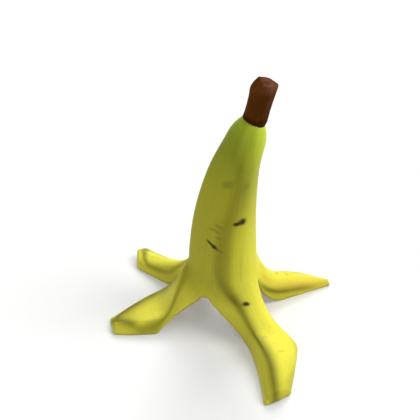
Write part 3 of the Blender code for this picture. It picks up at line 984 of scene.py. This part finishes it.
    def add_torn_edge(self, loop: list[Vertex], away: Array, inner: dict[int, Vertex]) -> None:
        """Joins the outer side to the flesh with a rounded, fibrous edge."""
        starts = np.array([v.co[:] for v in loop])
        ends = np.array([inner[v.index].co[:] for v in loop])
        fruit = np.array([v[self.fruit][:] for v in loop])
        rows = [loop]
        for share, bulge, seed in self.BULGE:
            rough = Wave(self.SHRED_HEIGHT, self.SHRED_SPACING, seed).over(fruit)
            spots = starts + (ends - starts) * share + away * (bulge + rough)[:, None]
            rows.append([self.copy(vertex, spot, share) for vertex, spot in zip(loop, spots)])
        rows.append([inner[v.index] for v in loop])
        outer_edge = next(e for e in loop[0].link_edges if e.other_vert(loop[0]) is loop[1])
        ahead = outer_edge.link_loops[0].vert is loop[0]
        join_rows(self.mesh, rows[::-1] if ahead else rows, layer=Layer.TORN)


def add_object(name: str, data: bpy.types.ID) -> bpy.types.Object:
    """A new object in the scene with that data."""
    made = bpy.data.objects.new(name, data)
    bpy.context.scene.collection.objects.link(made)
    return made


def make_piece(name: str, mesh: bmesh.types.BMesh) -> bpy.types.Object:
    """A smooth-shaded object in metres, over the middle of the plan, from a mesh in millimetres."""
    for vertex in mesh.verts:
        vertex.co = (vertex.co - Vector(PLAN_MIDDLE)) * MM
    data = bpy.data.meshes.new(name)
    mesh.to_mesh(data)
    mesh.free()
    data.shade_smooth()
    return add_object(name, data)


@dataclass
class Stem:
    """The woody stalk: a ribbed, slightly five-cornered stick with a slanted, rough cut end."""

    FIELDS = ("rise", "cut", "middle", "dusty", "sunny")

    body: Body
    top_radius: float = 6.8
    length: float = 21.4
    uprighting: float = -9.1
    corners: int = 5
    corner_rise: float = 0.35
    round_below: float = 0.3
    # Where the painted sheen starts up the stalk, and the azimuth that the painted light comes from
    sheen_from: float = 0.70
    lit_azimuth: float = -25.0
    chamfer_slope: float = 1.35
    chamfer_start: float = 1.6
    chamfer_azimuth: float = 194.0
    groove_depth: float = 0.16
    grooves: tuple[Wave, ...] = (Wave(1.0, (1.1, 1.1, 16.0), 4.0), Wave(0.7, (2.6, 2.6, 30.0), 9.0))
    bumps: tuple[Wave, ...] = (Wave(0.22, (0.9,) * 3, 1.0), Wave(0.1, (0.35,) * 3, 6.0))
    end_hole: float = 0.03
    end_sinking: float = 0.55
    end_sunk_within: float = 0.35
    rough_from_step: float = 2.0
    cut_colour_at: float = 0.8
    cut_colour_over: float = 2.5
    columns: int = 160
    rows: int = 64
    end_rows: int = 14
    # Share of the length, share of the radius, and how far the chamfer has come in
    profile: tuple[Point, ...] = (
        (-0.07, 0.97, 0.0), (0.0, 1.0, 0.0), (0.035, 1.045, 0.0), (0.1, 1.02, 0.0),
        (0.3, 0.96, 0.0), (0.55, 0.97, 0.1), (0.8, 0.99, 0.45), (0.96, 1.0, 0.92),
        (0.985, 0.985, 0.98), (1.0, 0.93, 1.0),
    )

    def ring(self, share: float, width: float, chamfering: float, azimuth: Array) -> Array:
        """One ring of the stalk.

        Args:
            share: Share of the length up from the base.
            width: Share of the radius.
            chamfering: How far the slanted cut has come in, 0 to 1.
            azimuth: In radians.

        Returns:
            The ring's points.
        """
        ones = np.ones_like(azimuth)
        foot, lean = self.body.midline(STEM_BASE_HEIGHT * ones)
        lean = lean + np.radians(self.uprighting)
        along = np.array([np.sin(lean[0]), 0.0, np.cos(lean[0])])
        corners = self.corner_rise * np.cos(self.corners * azimuth) * ease(share / self.round_below)
        radius = (STEM_BASE_RADIUS + (self.top_radius - STEM_BASE_RADIUS) * share + corners) * width
        towards = np.cos(azimuth - np.radians(self.chamfer_azimuth))
        past = np.maximum(radius * towards - self.chamfer_start, 0.0)
        ring = self.body.around(foot + along * self.length * share, lean, azimuth, radius)
        return ring - np.outer(past * self.chamfer_slope * chamfering, along)

    def circle(self) -> tuple[Array, Array]:
        """The azimuths of a ring's points in radians, and points one from the middle there."""
        azimuth = np.linspace(0.0, 2.0 * np.pi, self.columns, endpoint=False)
        return azimuth, np.column_stack([np.cos(azimuth), np.sin(azimuth), np.zeros_like(azimuth)])

    def add_side(self, mesh: bmesh.types.BMesh, fields: dict[str, Any]) -> list[list[Vertex]]:
        """The vertices of the stalk's grooved side, from its foot up."""
        azimuth, circle = self.circle()
        # How much each column faces the lamps, which sets the painted sheen and the painted redness
        # of the side away from them
        towards_light = ease(0.5 + 0.5 * np.cos(azimuth - math.radians(self.lit_azimuth)))
        shares, widths, chamferings = np.array(self.profile).T
        rows = []
        for share in np.linspace(shares[0], 1.0, self.rows):
            width, chamfering = (np.interp(share, shares, v) for v in (widths, chamferings))
            at = circle * STEM_BASE_RADIUS + [0.0, 0.0, share * self.length]
            grooves = sum(wave.over(at) for wave in self.grooves)
            scale = width * (1.0 + self.groove_depth * grooves / STEM_BASE_RADIUS)
            row = [mesh.verts.new(p) for p in self.ring(share, scale, chamfering, azimuth)]
            high = float(ease((share - self.sheen_from) / (1.0 - self.sheen_from)))
            for vertex, facing in zip(row, towards_light):
                vertex[fields["rise"]] = share
                vertex[fields["dusty"]] = high * facing**2
                vertex[fields["sunny"]] = facing
            rows.append(row)
        return rows

    def add_end(self, mesh: bmesh.types.BMesh, fields: dict[str, Any]) -> list[list[Vertex]]:
        """The vertices of the rough, sunken cut end, from its rim to its middle."""
        azimuth, circle = self.circle()
        top, below = (self.ring(share, 1.0, 0.0, azimuth).mean(axis=0) for share in (1.0, 0.9))
        axis = unit(top - below)
        rows = []
        for step in range(1, self.end_rows + 1):
            inwards = step / self.end_rows
            width = self.profile[-1][1] * (self.end_hole + (1.0 - self.end_hole) * (1.0 - inwards))
            at = circle * STEM_BASE_RADIUS * width
            started = min(1.0, step / self.rough_from_step)
            rough = sum(wave.over(at) for wave in self.bumps) * started
            sunk = rough - self.end_sinking * float(ease(inwards / self.end_sunk_within))
            flat = self.ring(1.0, width, 1.0, azimuth)
            row = [mesh.verts.new(p) for p in flat + np.outer(sunk, axis)]
            for vertex, spot in zip(row, at):
                light = ease(self.cut_colour_at + spot[0] / self.cut_colour_over)
                vertex[fields["rise"]] = 1.0
                vertex[fields["cut"]] = started * float(light)
                vertex[fields["middle"]] = inwards
            rows.append(row)
        return rows

    def build(self) -> bpy.types.Object:
        """Makes the stalk with its grooves, its collar and its cut end."""
        mesh = bmesh.new()
        fields = {name: mesh.verts.layers.float.new(name) for name in self.FIELDS}
        rows = self.add_side(mesh, fields) + self.add_end(mesh, fields)
        join_rows(mesh, rows)
        mesh.faces.new(rows[-1])
        mesh.faces.new(reversed(rows[0]))
        return make_piece("stem", mesh)


# ---------------------------------------------------------------- shader tools


class Signal:
    """A shader's socket in an expression. Each operator adds the node that works it out."""

    def __init__(self, bench: "NodeBench", socket: bpy.types.NodeSocket) -> None:
        """Wraps a socket of a material's nodes."""
        self.bench = bench
        self.socket = socket

    def maths(self, operation: str, *others: Any) -> "Signal":
        """This signal and the others through one Math node."""
        inputs = dict(enumerate((self, *others)))
        return self.bench.node("ShaderNodeMath", {"operation": operation}, inputs)

    def __add__(self, other: Any) -> "Signal":
        """Sum."""
        return self.maths("ADD", other)

    __radd__ = __add__

    def __mul__(self, other: Any) -> "Signal":
        """Product."""
        return self.maths("MULTIPLY", other)

    __rmul__ = __mul__

    def __sub__(self, other: Any) -> "Signal":
        """Difference."""
        return self.maths("SUBTRACT", other)

    def __rsub__(self, other: float) -> "Signal":
        """Difference from a number."""
        return self.bench.node("ShaderNodeMath", {"operation": "SUBTRACT"}, {0: other, 1: self})

    def __truediv__(self, other: Any) -> "Signal":
        """Quotient."""
        return self.maths("DIVIDE", other)

    def __pow__(self, other: Any) -> "Signal":
        """Power."""
        return self.maths("POWER", other)

    def most(self, other: Any) -> "Signal":
        """The larger of the two."""
        return self.maths("MAXIMUM", other)

    def about(self, spread: float) -> "Signal":
        """Noise from 0 to 1 turned into an unevenness about 0, with that spread."""
        return (self - 0.5) * spread

    def smooth(self, start: float, end: float) -> "Signal":
        """0 at the start, 1 at the end and level at both."""
        settings = {"interpolation_type": "SMOOTHSTEP"}
        return self.bench.node("ShaderNodeMapRange", settings, {0: self, 1: start, 2: end})


@dataclass(frozen=True)
class Cloud:
    """Noise in a finish: the size of its bumps in millimetres, its detail and its roughness."""

    size: Point
    detail: float
    roughness: float


class NodeBench:
    """The nodes of a material or a world, and the few ways in which this file adds to them."""

    def __init__(self, owner: bpy.types.ID, shader: str = "Principled BSDF") -> None:
        """Starts with the one shader that a new material or world has."""
        owner.use_nodes = True
        self.owner = owner
        self.tree = owner.node_tree
        self.shader = self.tree.nodes[shader]

    def node(
        self,
        kind: str,
        settings: dict[str, Any] | None = None,
        inputs: dict[int | str, Any] | None = None,
        output: int | str = 0,
    ) -> Signal:
        """Adds a node.

        Args:
            kind: The node's type.
            settings: Its settings, made first; "stops" are a ramp's places and colours.
            inputs: Values or signals for its sockets, by number or name.
            output: The socket to read.

        Returns:
            The signal that comes out of it.
        """
        made = self.tree.nodes.new(kind)
        for key, value in (settings or {}).items():
            if key == "stops":
                elements = made.color_ramp.elements
                while len(elements) < len(value):
                    elements.new(1.0)
                for element, (place, colour) in zip(elements, value):
                    element.position = place
                    element.color = (*colour, 1.0)
            else:
                setattr(made, key, value)
        for key, value in (inputs or {}).items():
            self.feed(made.inputs[key], value)
        return Signal(self, made.outputs[output])

    def feed(self, socket: bpy.types.NodeSocket, value: Any) -> None:
        """Links a signal to a socket, or sets a plain value there."""
        if isinstance(value, Signal):
            self.tree.links.new(value.socket, socket)
        elif isinstance(value, tuple) and socket.type == "RGBA":
            socket.default_value = (*value, 1.0)
        else:
            socket.default_value = value

    def dress(self, **inputs: Any) -> bpy.types.ID:
        """Sets the shader's inputs, named with _ for spaces, and returns what they dress."""
        for name, value in inputs.items():
            self.feed(self.shader.inputs[name.replace("_", " ")], value)
        return self.owner

    def field(self, name: str, vector: bool = False) -> Signal:
        """A field of the mesh."""
        settings = {"attribute_name": name}
        return self.node("ShaderNodeAttribute", settings, output="Vector" if vector else "Fac")

    def place(self) -> Signal:
        """Where the surface is, in millimetres."""
        at = self.node("ShaderNodeTexCoord", output="Object")
        return self.node("ShaderNodeVectorMath", {"operation": "SCALE"}, {0: at, "Scale": 1.0 / MM})

    def vector(self, operation: str, a: Any, b: Any, output: int | str = 0) -> Signal:
        """Two vectors through one Vector Math node."""
        return self.node("ShaderNodeVectorMath", {"operation": operation}, {0: a, 1: b}, output)

    def noise(self, at: Signal, *clouds: Cloud) -> list[Signal]:
        """Noise from 0 to 1 for each of the clouds."""
        made = []
        for cloud in clouds:
            scaled = self.vector("DIVIDE", at, cloud.size)
            inputs = {"Vector": scaled, "Scale": 1.0, "Detail": cloud.detail}
            inputs["Roughness"] = cloud.roughness
            made.append(self.node("ShaderNodeTexNoise", {}, inputs))
        return made

    def mix(self, share: Any, first: Any, second: Any) -> Signal:
        """One colour over another, by a share from 0 to 1."""
        inputs = {0: share, 6: first, 7: second}
        return self.node("ShaderNodeMix", {"data_type": "RGBA"}, inputs, output=2)

    def bump(self, height: Signal, depth: float) -> Signal:
        """A normal from a height between 0 and 1, that deep in millimetres."""
        inputs = {"Strength": 1.0, "Distance": depth * MM, "Height": height}
        return self.node("ShaderNodeBump", {}, inputs)


# ---------------------------------------------------------------- finishes


class MarkKind(Enum):
    """What a mark on the skin is, with its colour and how much of the skin it hides."""

    BRUISE = ((0.043, 0.032, 0.002), 1.0)
    SCRATCH = ((0.15, 0.13, 0.008), 0.42)
    BLOT = ((0.17, 0.20, 0.012), 0.42)
    FLECK = ((0.60, 0.36, 0.04), 0.50)
    STAIN = ((0.50, 0.40, 0.035), 0.34)

    def __init__(self, colour: Colour, share: float) -> None:
        """Names the two values."""
        self.colour = colour
        self.share = share


@dataclass(frozen=True)
class Mark:
    """An oval mark on the skin, in millimetres in the peel's own frame."""

    kind: MarkKind
    centre: Point
    along: Point
    half_length: float
    half_width: float


MARKS = (
    Mark(MarkKind.BRUISE, (9.5, -2.9, 68.4), (0.74, 0.64, -0.18), 4.0, 2.85),
    Mark(MarkKind.BRUISE, (6.6, -5.0, 68.2), (0.85, 0.49, -0.19), 4.0, 1.70),
    Mark(MarkKind.BRUISE, (-7.4, -3.0, 54.4), (0.71, -0.56, -0.43), 4.4, 1.05),
    Mark(MarkKind.BRUISE, (-5.5, -4.4, 53.2), (0.74, -0.50, -0.45), 2.9, 1.70),
    Mark(MarkKind.SCRATCH, (-2.4, -6.2, 51.6), (0.85, -0.43, -0.31), 3.3, 1.25),
    Mark(MarkKind.BRUISE, (12.0, -14.5, 22.4), (0.83, 0.51, -0.23), 3.7, 1.75),
    Mark(MarkKind.BLOT, (1.4, -1.2, 90.2), (0.87, -0.41, 0.27), 4.9, 2.9),
    Mark(MarkKind.BLOT, (11.3, -0.8, 88.9), (0.75, 0.66, 0.05), 3.6, 2.3),
    Mark(MarkKind.SCRATCH, (-3.1, -4.0, 65.9), (0.82, -0.51, -0.25), 4.4, 1.15),
    Mark(MarkKind.SCRATCH, (-4.4, -3.7, 62.8), (0.78, -0.52, -0.35), 3.9, 1.20),
    Mark(MarkKind.SCRATCH, (-3.4, -4.8, 59.3), (0.86, -0.49, -0.18), 2.6, 1.05),
    Mark(MarkKind.SCRATCH, (-7.4, -1.6, 63.0), (0.68, -0.60, -0.43), 2.0, 1.00),
    Mark(MarkKind.STAIN, (30.0, -38.0, 8.9), (0.81, 0.51, -0.31), 3.2, 1.0),
    Mark(MarkKind.STAIN, (21.8, -28.8, 11.0), (0.81, 0.51, -0.31), 3.2, 1.3),
    Mark(MarkKind.FLECK, (32.3, 27.6, 13.2), (0.62, 0.68, -0.40), 2.2, 1.33),
    Mark(MarkKind.FLECK, (38.4, 29.9, 10.8), (0.68, 0.66, -0.31), 1.6, 1.96),
)


@dataclass(frozen=True)
class SkinFinish:
    """Ripe yellow skin, green at the neck, with painted shade and a few bruises."""

    # Distance down from the neck, and the skin's colour there without painted shade and with it
    bright: Stops = (
        (0.0, (0.74, 0.88, 0.066)), (12.0, (0.67, 0.80, 0.058)), (21.0, (0.55, 0.61, 0.037)),
        (29.0, (0.48, 0.50, 0.030)), (38.0, (0.54, 0.53, 0.034)), (50.0, (0.64, 0.61, 0.040)),
        (64.0, (0.77, 0.73, 0.050)), (80.0, (0.86, 0.81, 0.062)), (116.0, (0.88, 0.825, 0.074)),
    )
    shaded: Stops = (
        (0.0, (0.46, 0.56, 0.034)), (12.0, (0.345, 0.415, 0.024)), (21.0, (0.345, 0.38, 0.021)),
        (29.0, (0.405, 0.425, 0.025)), (45.0, (0.49, 0.47, 0.029)), (65.0, (0.515, 0.485, 0.033)),
        (92.0, (0.55, 0.515, 0.040)), (116.0, (0.53, 0.49, 0.036)),
    )
    ramp_length: float = 120.0
    # Dark olive of the painted shade along creases, edges and tips, also used for the mottling
    crease: Colour = (0.150, 0.136, 0.010)
    warm: Colour = (0.84, 0.62, 0.065)
    worn: Colour = (0.40, 0.33, 0.035)
    # Broad patches, streaks, pores and blots
    clouds: tuple[Cloud, ...] = (
        Cloud((9.0, 9.0, 22.0), 3.0, 0.55),
        Cloud((0.9, 0.9, 30.0), 3.0, 0.6),
        Cloud((0.45, 0.45, 0.8), 2.0, 0.6),
        Cloud((1.8, 1.8, 2.4), 2.0, 0.5),
    )
    ramp_shift: float = 9.0
    broad_unevenness: float = 0.5
    streak_unevenness: float = 0.25
    shade_unevenness: float = 0.35
    crease_unevenness: float = 0.8
    warm_share: float = 0.9
    streaks_within: Pair = (0.5, 0.8)
    streak_share: float = 0.16
    blots_within: Pair = (0.5, 0.8)
    blot_share: float = 0.07
    pores_within: Pair = (0.6, 0.8)
    pore_share: float = 0.05
    worn_share: float = 0.4
    worn_within: Pair = (0.1, 1.3)
    worn_unevenness: float = 1.6
    worn_roughness: float = 0.2
    mark_fade: Pair = (0.3, 1.1)
    # The part of pores and blots in a mark's outline
    outline: Pair = (0.4, 0.5)
    # The part of streaks, pores and broad patches in the relief
    relief: Point = (0.5, 0.35, 0.3)
    roughness: float = 0.5
    roughness_spread: float = 0.16
    gloss: float = 0.09
    bump_depth: float = 0.2

    def material(self) -> bpy.types.Material:
        """The finished material."""
        bench = NodeBench(bpy.data.materials.new("banana_skin"))
        fruit = bench.field("fruit", vector=True)
        fall = bench.node("ShaderNodeSeparateXYZ", {}, {0: fruit}, output=2)
        broad, streaks, pores, blots = bench.noise(fruit, *self.clouds)
        uneven = broad.about(self.broad_unevenness) + streaks.about(self.streak_unevenness)
        down = (fall + broad.about(self.ramp_shift)) / self.ramp_length
        bright, shaded = (self.ramp(bench, down, stops) for stops in (self.bright, self.shaded))
        # Painted shade: the shade field mixes the shaded colours over the plain ones
        shade = bench.field(Tint.SHADE.value) + uneven * self.shade_unevenness
        colour = bench.mix(shade, bright, shaded)
        warm = bench.field(Tint.WARM.value) * (self.warm_share + uneven)
        colour = bench.mix(warm, colour, self.warm)
        # Painted shade along creases, edges and tips
        crease = bench.field(Tint.CREASE.value) * (1.0 + uneven * self.crease_unevenness)
        colour = bench.mix(crease, colour, self.crease)
        mottled = streaks.smooth(*self.streaks_within) * self.streak_share
        mottled += blots.smooth(*self.blots_within) * self.blot_share
        mottled += pores.smooth(*self.pores_within) * self.pore_share
        colour = bench.mix(mottled, colour, self.crease)
        outline = pores.about(self.outline[0]) + blots.about(self.outline[1])
        for mark in MARKS:
            share = self.mark_share(bench, mark, outline)
            colour = bench.mix(share, colour, mark.kind.colour)
        from_edge = bench.field("edge") + streaks.about(self.worn_unevenness)
        worn = 1.0 - from_edge.smooth(*self.worn_within)
        colour = bench.mix(worn * self.worn_share, colour, self.worn)
        rough = self.roughness + broad.about(self.roughness_spread)
        height = streaks * self.relief[0] + pores * self.relief[1] + broad * self.relief[2]
        return bench.dress(
            Base_Color=colour,
            Roughness=rough + worn * self.worn_roughness,
            Specular_IOR_Level=self.gloss,
            Normal=bench.bump(height, self.bump_depth),
        )

    def ramp(self, bench: NodeBench, down: Signal, stops: Stops) -> Signal:
        """The colour at a share of the ramp's length down from the neck."""
        shares = tuple((place / self.ramp_length, colour) for place, colour in stops)
        return bench.node("ShaderNodeValToRGB", {"stops": shares}, {0: down})

    def mark_share(self, bench: NodeBench, mark: Mark, outline: Signal) -> Signal:
        """How much of the skin a mark hides, with its uneven outline."""
        offset = bench.vector("SUBTRACT", bench.place(), mark.centre)
        along = bench.vector("DOT_PRODUCT", offset, mark.along, "Value")
        distance = bench.vector("LENGTH", offset, (0.0, 0.0, 0.0), "Value")
        across2 = (distance * distance - along * along).most(0.0) / mark.half_width**2
        oval = (across2 + along * along / mark.half_length**2) ** 0.5
        return (1.0 - (oval + outline).smooth(*self.mark_fade)) * mark.kind.share


@dataclass(frozen=True)
class FleshFinish:
    """The pale inside of the skin, with long soft fibres."""

    cream: Colour = (0.80, 0.70, 0.36)
    pale: Colour = (0.86, 0.80, 0.55)
    tan: Colour = (0.55, 0.40, 0.15)
    # Broad patches, fibres and fluff
    clouds: tuple[Cloud, ...] = (
        Cloud((7.0, 7.0, 16.0), 3.0, 0.6),
        Cloud((0.8, 0.8, 26.0), 3.0, 0.65),
        Cloud((0.4, 0.4, 0.9), 2.0, 0.6),
    )
    patches_within: Pair = (0.3, 0.7)
    fibres_within: Pair = (0.5, 0.72)
    fibre_share: float = 0.5
    fluff_within: Pair = (0.62, 0.8)
    fluff_share: float = 0.12
    worn_within: Pair = (0.3, 3.5)
    worn_unevenness: float = 3.0
    worn_share: float = 0.5
    # The part of fibres and fluff in the relief
    relief: Pair = (0.7, 0.3)
    roughness: float = 0.62
    roughness_spread: float = 0.2
    bump_depth: float = 0.3

    def material(self) -> bpy.types.Material:
        """The finished material."""
        bench = NodeBench(bpy.data.materials.new("banana_flesh"))
        broad, fibre, fluff = bench.noise(bench.field("fruit", vector=True), *self.clouds)
        colour = bench.mix(broad.smooth(*self.patches_within), self.cream, self.pale)
        fibres = fibre.smooth(*self.fibres_within) * self.fibre_share
        colour = bench.mix(fibres, colour, self.pale)
        from_edge = bench.field("edge") + broad.about(self.worn_unevenness)
        worn = 1.0 - from_edge.smooth(*self.worn_within)
        specks = fluff.smooth(*self.fluff_within) * self.fluff_share
        return bench.dress(
            Base_Color=bench.mix(worn * self.worn_share + specks, colour, self.tan),
            Roughness=self.roughness + fluff.about(self.roughness_spread),
            Normal=bench.bump(fibre * self.relief[0] + fluff * self.relief[1], self.bump_depth),
        )


@dataclass(frozen=True)
class TornEdgeFinish:
    """The torn edge, from yellow at the outer side to cream at the flesh, a little browned."""

    yellow: Colour = (0.42, 0.37, 0.040)
    cream: Colour = (0.66, 0.56, 0.24)
    brown: Colour = (0.30, 0.18, 0.05)
    # Shreds and patches
    clouds: tuple[Cloud, ...] = (
        Cloud((0.7, 0.7, 1.6), 3.0, 0.65),
        Cloud((4.0, 4.0, 5.0), 2.0, 0.5),
    )
    yellow_to_cream: Pair = (0.05, 0.5)
    depth_unevenness: float = 0.3
    patches_within: Pair = (0.4, 0.75)
    patch_share: float = 0.5
    shreds_within: Pair = (0.5, 0.8)
    shred_share: float = 0.35
    roughness: float = 0.6
    roughness_spread: float = 0.2
    bump_depth: float = 0.3

    def material(self) -> bpy.types.Material:
        """The finished material."""
        bench = NodeBench(bpy.data.materials.new("banana_torn_edge"))
        shreds, patches = bench.noise(bench.field("fruit", vector=True), *self.clouds)
        depth = bench.field("depth") + shreds.about(self.depth_unevenness)
        colour = bench.mix(depth.smooth(*self.yellow_to_cream), self.yellow, self.cream)
        browned = patches.smooth(*self.patches_within) * self.patch_share
        browned += shreds.smooth(*self.shreds_within) * self.shred_share
        return bench.dress(
            Base_Color=bench.mix(browned, colour, self.brown),
            Roughness=self.roughness + shreds.about(self.roughness_spread),
            Normal=bench.bump(shreds, self.bump_depth),
        )


@dataclass(frozen=True)
class StemFinish:
    """Dark, dried stalk with long fibres, a lighter cut end, a blackened foot and a painted sheen.
    """

    dark: Colour = (0.056, 0.018, 0.001)
    red_brown: Colour = (0.155, 0.043, 0.003)
    black: Colour = (0.030, 0.010, 0.001)
    dusty: Colour = (0.190, 0.072, 0.030)
    cut_wood: Colour = (0.21, 0.078, 0.040)
    core: Colour = (0.10, 0.042, 0.020)
    # Fibres, patches and fluff
    clouds: tuple[Cloud, ...] = (
        Cloud((0.6, 0.6, 14.0), 4.0, 0.6),
        Cloud((4.0, 4.0, 8.0), 2.0, 0.5),
        Cloud((0.5, 0.5, 0.5), 3.0, 0.6),
    )
    fibres_within: Pair = (0.3, 0.7)
    patches_within: Pair = (0.35, 0.7)
    redder_share: float = 0.3
    redder_in_shade: float = 0.45
    foot_within: Pair = (0.02, 0.20)
    foot_unevenness: float = 0.06
    foot_share: float = 0.85
    sheen_share: float = 0.55
    sheen_on_fibres: float = 0.6
    core_within: Pair = (0.35, 0.8)
    core_unevenness: float = 0.5
    fluff_within: Pair = (0.4, 0.7)
    fluff_share: float = 0.5
    roughness: float = 0.7
    roughness_spread: float = 0.2
    cut_roughness: float = 0.15
    gloss: float = 0.03
    bump_depth: float = 0.35

    def material(self) -> bpy.types.Material:
        """The finished material."""
        bench = NodeBench(bpy.data.materials.new("banana_stem"))
        rise, cut, middle, dusty, sunny = (bench.field(name) for name in Stem.FIELDS)
        fibre, patch, fluff = bench.noise(bench.place(), *self.clouds)
        marbled = fibre.smooth(*self.fibres_within) + patch.smooth(*self.patches_within)
        # Painted light: the side away from the lamps is painted redder and lighter than the side
        # that faces them
        redder = marbled * self.redder_share + (1.0 - sunny) * self.redder_in_shade
        colour = bench.mix(redder, self.dark, self.red_brown)
        foot = 1.0 - (rise + patch.about(self.foot_unevenness)).smooth(*self.foot_within)
        colour = bench.mix(foot * self.foot_share, colour, self.black)
        # Painted sheen: lighter and greyer near the top on the side towards the lamps
        painted_sheen = dusty * (self.sheen_share + fibre * self.sheen_on_fibres)
        colour = bench.mix(painted_sheen, colour, self.dusty)
        core = (middle + fluff.about(self.core_unevenness)).smooth(*self.core_within)
        end = bench.mix(core, self.cut_wood, self.core)
        end = bench.mix(fluff.smooth(*self.fluff_within) * self.fluff_share, end, self.dark)
        rough = self.roughness + fibre.about(self.roughness_spread)
        return bench.dress(
            Base_Color=bench.mix(cut, colour, end),
            Roughness=rough + cut * self.cut_roughness,
            Specular_IOR_Level=self.gloss,
            Normal=bench.bump(fibre * (1.0 - cut) + fluff * cut, self.bump_depth),
        )


@dataclass(frozen=True)
class FloorFinish:
    """A plain pale floor that shows white to the camera and keeps the soft shadow."""

    colour: Colour = (0.80, 0.80, 0.80)
    seen_as_white: float = 0.2
    roughness: float = 0.9

    def material(self) -> bpy.types.Material:
        """The finished material."""
        bench = NodeBench(bpy.data.materials.new("pale_floor"))
        camera = bench.node("ShaderNodeLightPath", output="Is Camera Ray")
        glossy = bench.node("ShaderNodeLightPath", output="Is Glossy Ray")
        return bench.dress(
            Base_Color=self.colour,
            Roughness=self.roughness,
            Specular_IOR_Level=0.0,
            Emission_Color=bench.mix(camera.most(glossy), (0.0,) * 3, (self.seen_as_white,) * 3),
            Emission_Strength=1.0,
        )


# ---------------------------------------------------------------- studio


@dataclass
class Studio:
    """Floor, soft lamps, white surroundings and the camera."""

    floor_half_size: float = 6.0
    side_from: Point = (0.70, -0.06, 0.70)
    side_strength: float = 1.44
    back_from: Point = (0.10, 0.77, 0.64)
    back_strength: float = 1.67
    softness: float = 32.0
    ambient: float = 0.375
    lens: float = 70.0
    clip: Pair = (0.01, 100.0)
    elevation: float = 31.0
    camera_at: Point = (-7.82, -373.40, 298.45)

    def build(self) -> None:
        """Sets up everything round the peel."""
        self.add_floor()
        self.add_world()
        self.add_lamp("side_lamp", self.side_from, self.side_strength)
        self.add_lamp("back_lamp", self.back_from, self.back_strength)
        self.add_camera()
        bpy.context.scene.view_settings.view_transform = "Standard"

    def add_floor(self) -> None:
        """A wide, flat floor with its top at z = 0."""
        mesh = bmesh.new()
        bmesh.ops.create_grid(mesh, x_segments=4, y_segments=4, size=self.floor_half_size)
        data = bpy.data.meshes.new("floor")
        mesh.to_mesh(data)
        mesh.free()
        data.materials.append(FloorFinish().material())
        floor = add_object("floor", data)

    def add_world(self) -> None:
        """Even light all round, white where the camera sees it."""
        bench = NodeBench(bpy.data.worlds.new("surroundings"), "Background")
        seen = bench.node("ShaderNodeLightPath", output="Is Camera Ray")
        strength = seen * (1.0 - self.ambient) + self.ambient
        bpy.context.scene.world = bench.dress(Color=(1.0, 1.0, 1.0), Strength=strength)

    def add_lamp(self, name: str, lamp_from: Point, strength: float) -> None:
        """A broad, distant lamp.

        Args:
            name: The lamp's name.
            lamp_from: The way to it from the peel.
            strength: Its strength in watts for each square metre.
        """
        data = bpy.data.lights.new(name, "SUN")
        data.energy = strength
        data.angle = math.radians(self.softness)
        lamp = add_object(name, data)
        lamp.rotation_mode = "QUATERNION"
        lamp.rotation_quaternion = Vector(lamp_from).to_track_quat("Z", "Y")

    def add_camera(self) -> None:
        """A long lens that looks down on the peel from the front."""
        data = bpy.data.cameras.new("camera")
        data.lens = self.lens
        data.clip_start, data.clip_end = self.clip
        camera = add_object("camera", data)
        camera.location = Vector(self.camera_at) * MM
        camera.rotation_euler = (math.radians(90.0 - self.elevation), 0.0, 0.0)
        bpy.context.scene.camera = camera


def place_piece(piece: bpy.types.Object) -> None:
    """Puts a piece on the peel's one body, in place of its plain solid."""
    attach(piece, "root")
    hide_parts("peel")
    log.info("%s: %d faces", piece.name, len(piece.data.polygons))


def main() -> None:
    """Builds the studio, the skin and the stem."""
    logging.basicConfig(level=logging.INFO, format="%(name)s: %(message)s")
    Studio().build()
    body = Body()
    skin = Skin(body).build()
    for finish in (SkinFinish(), FleshFinish(), TornEdgeFinish()):
        skin.data.materials.append(finish.material())
    place_piece(skin)
    stem = Stem(body).build()
    stem.data.materials.append(StemFinish().material())
    place_piece(stem)


if __name__ == "__main__":
    main()
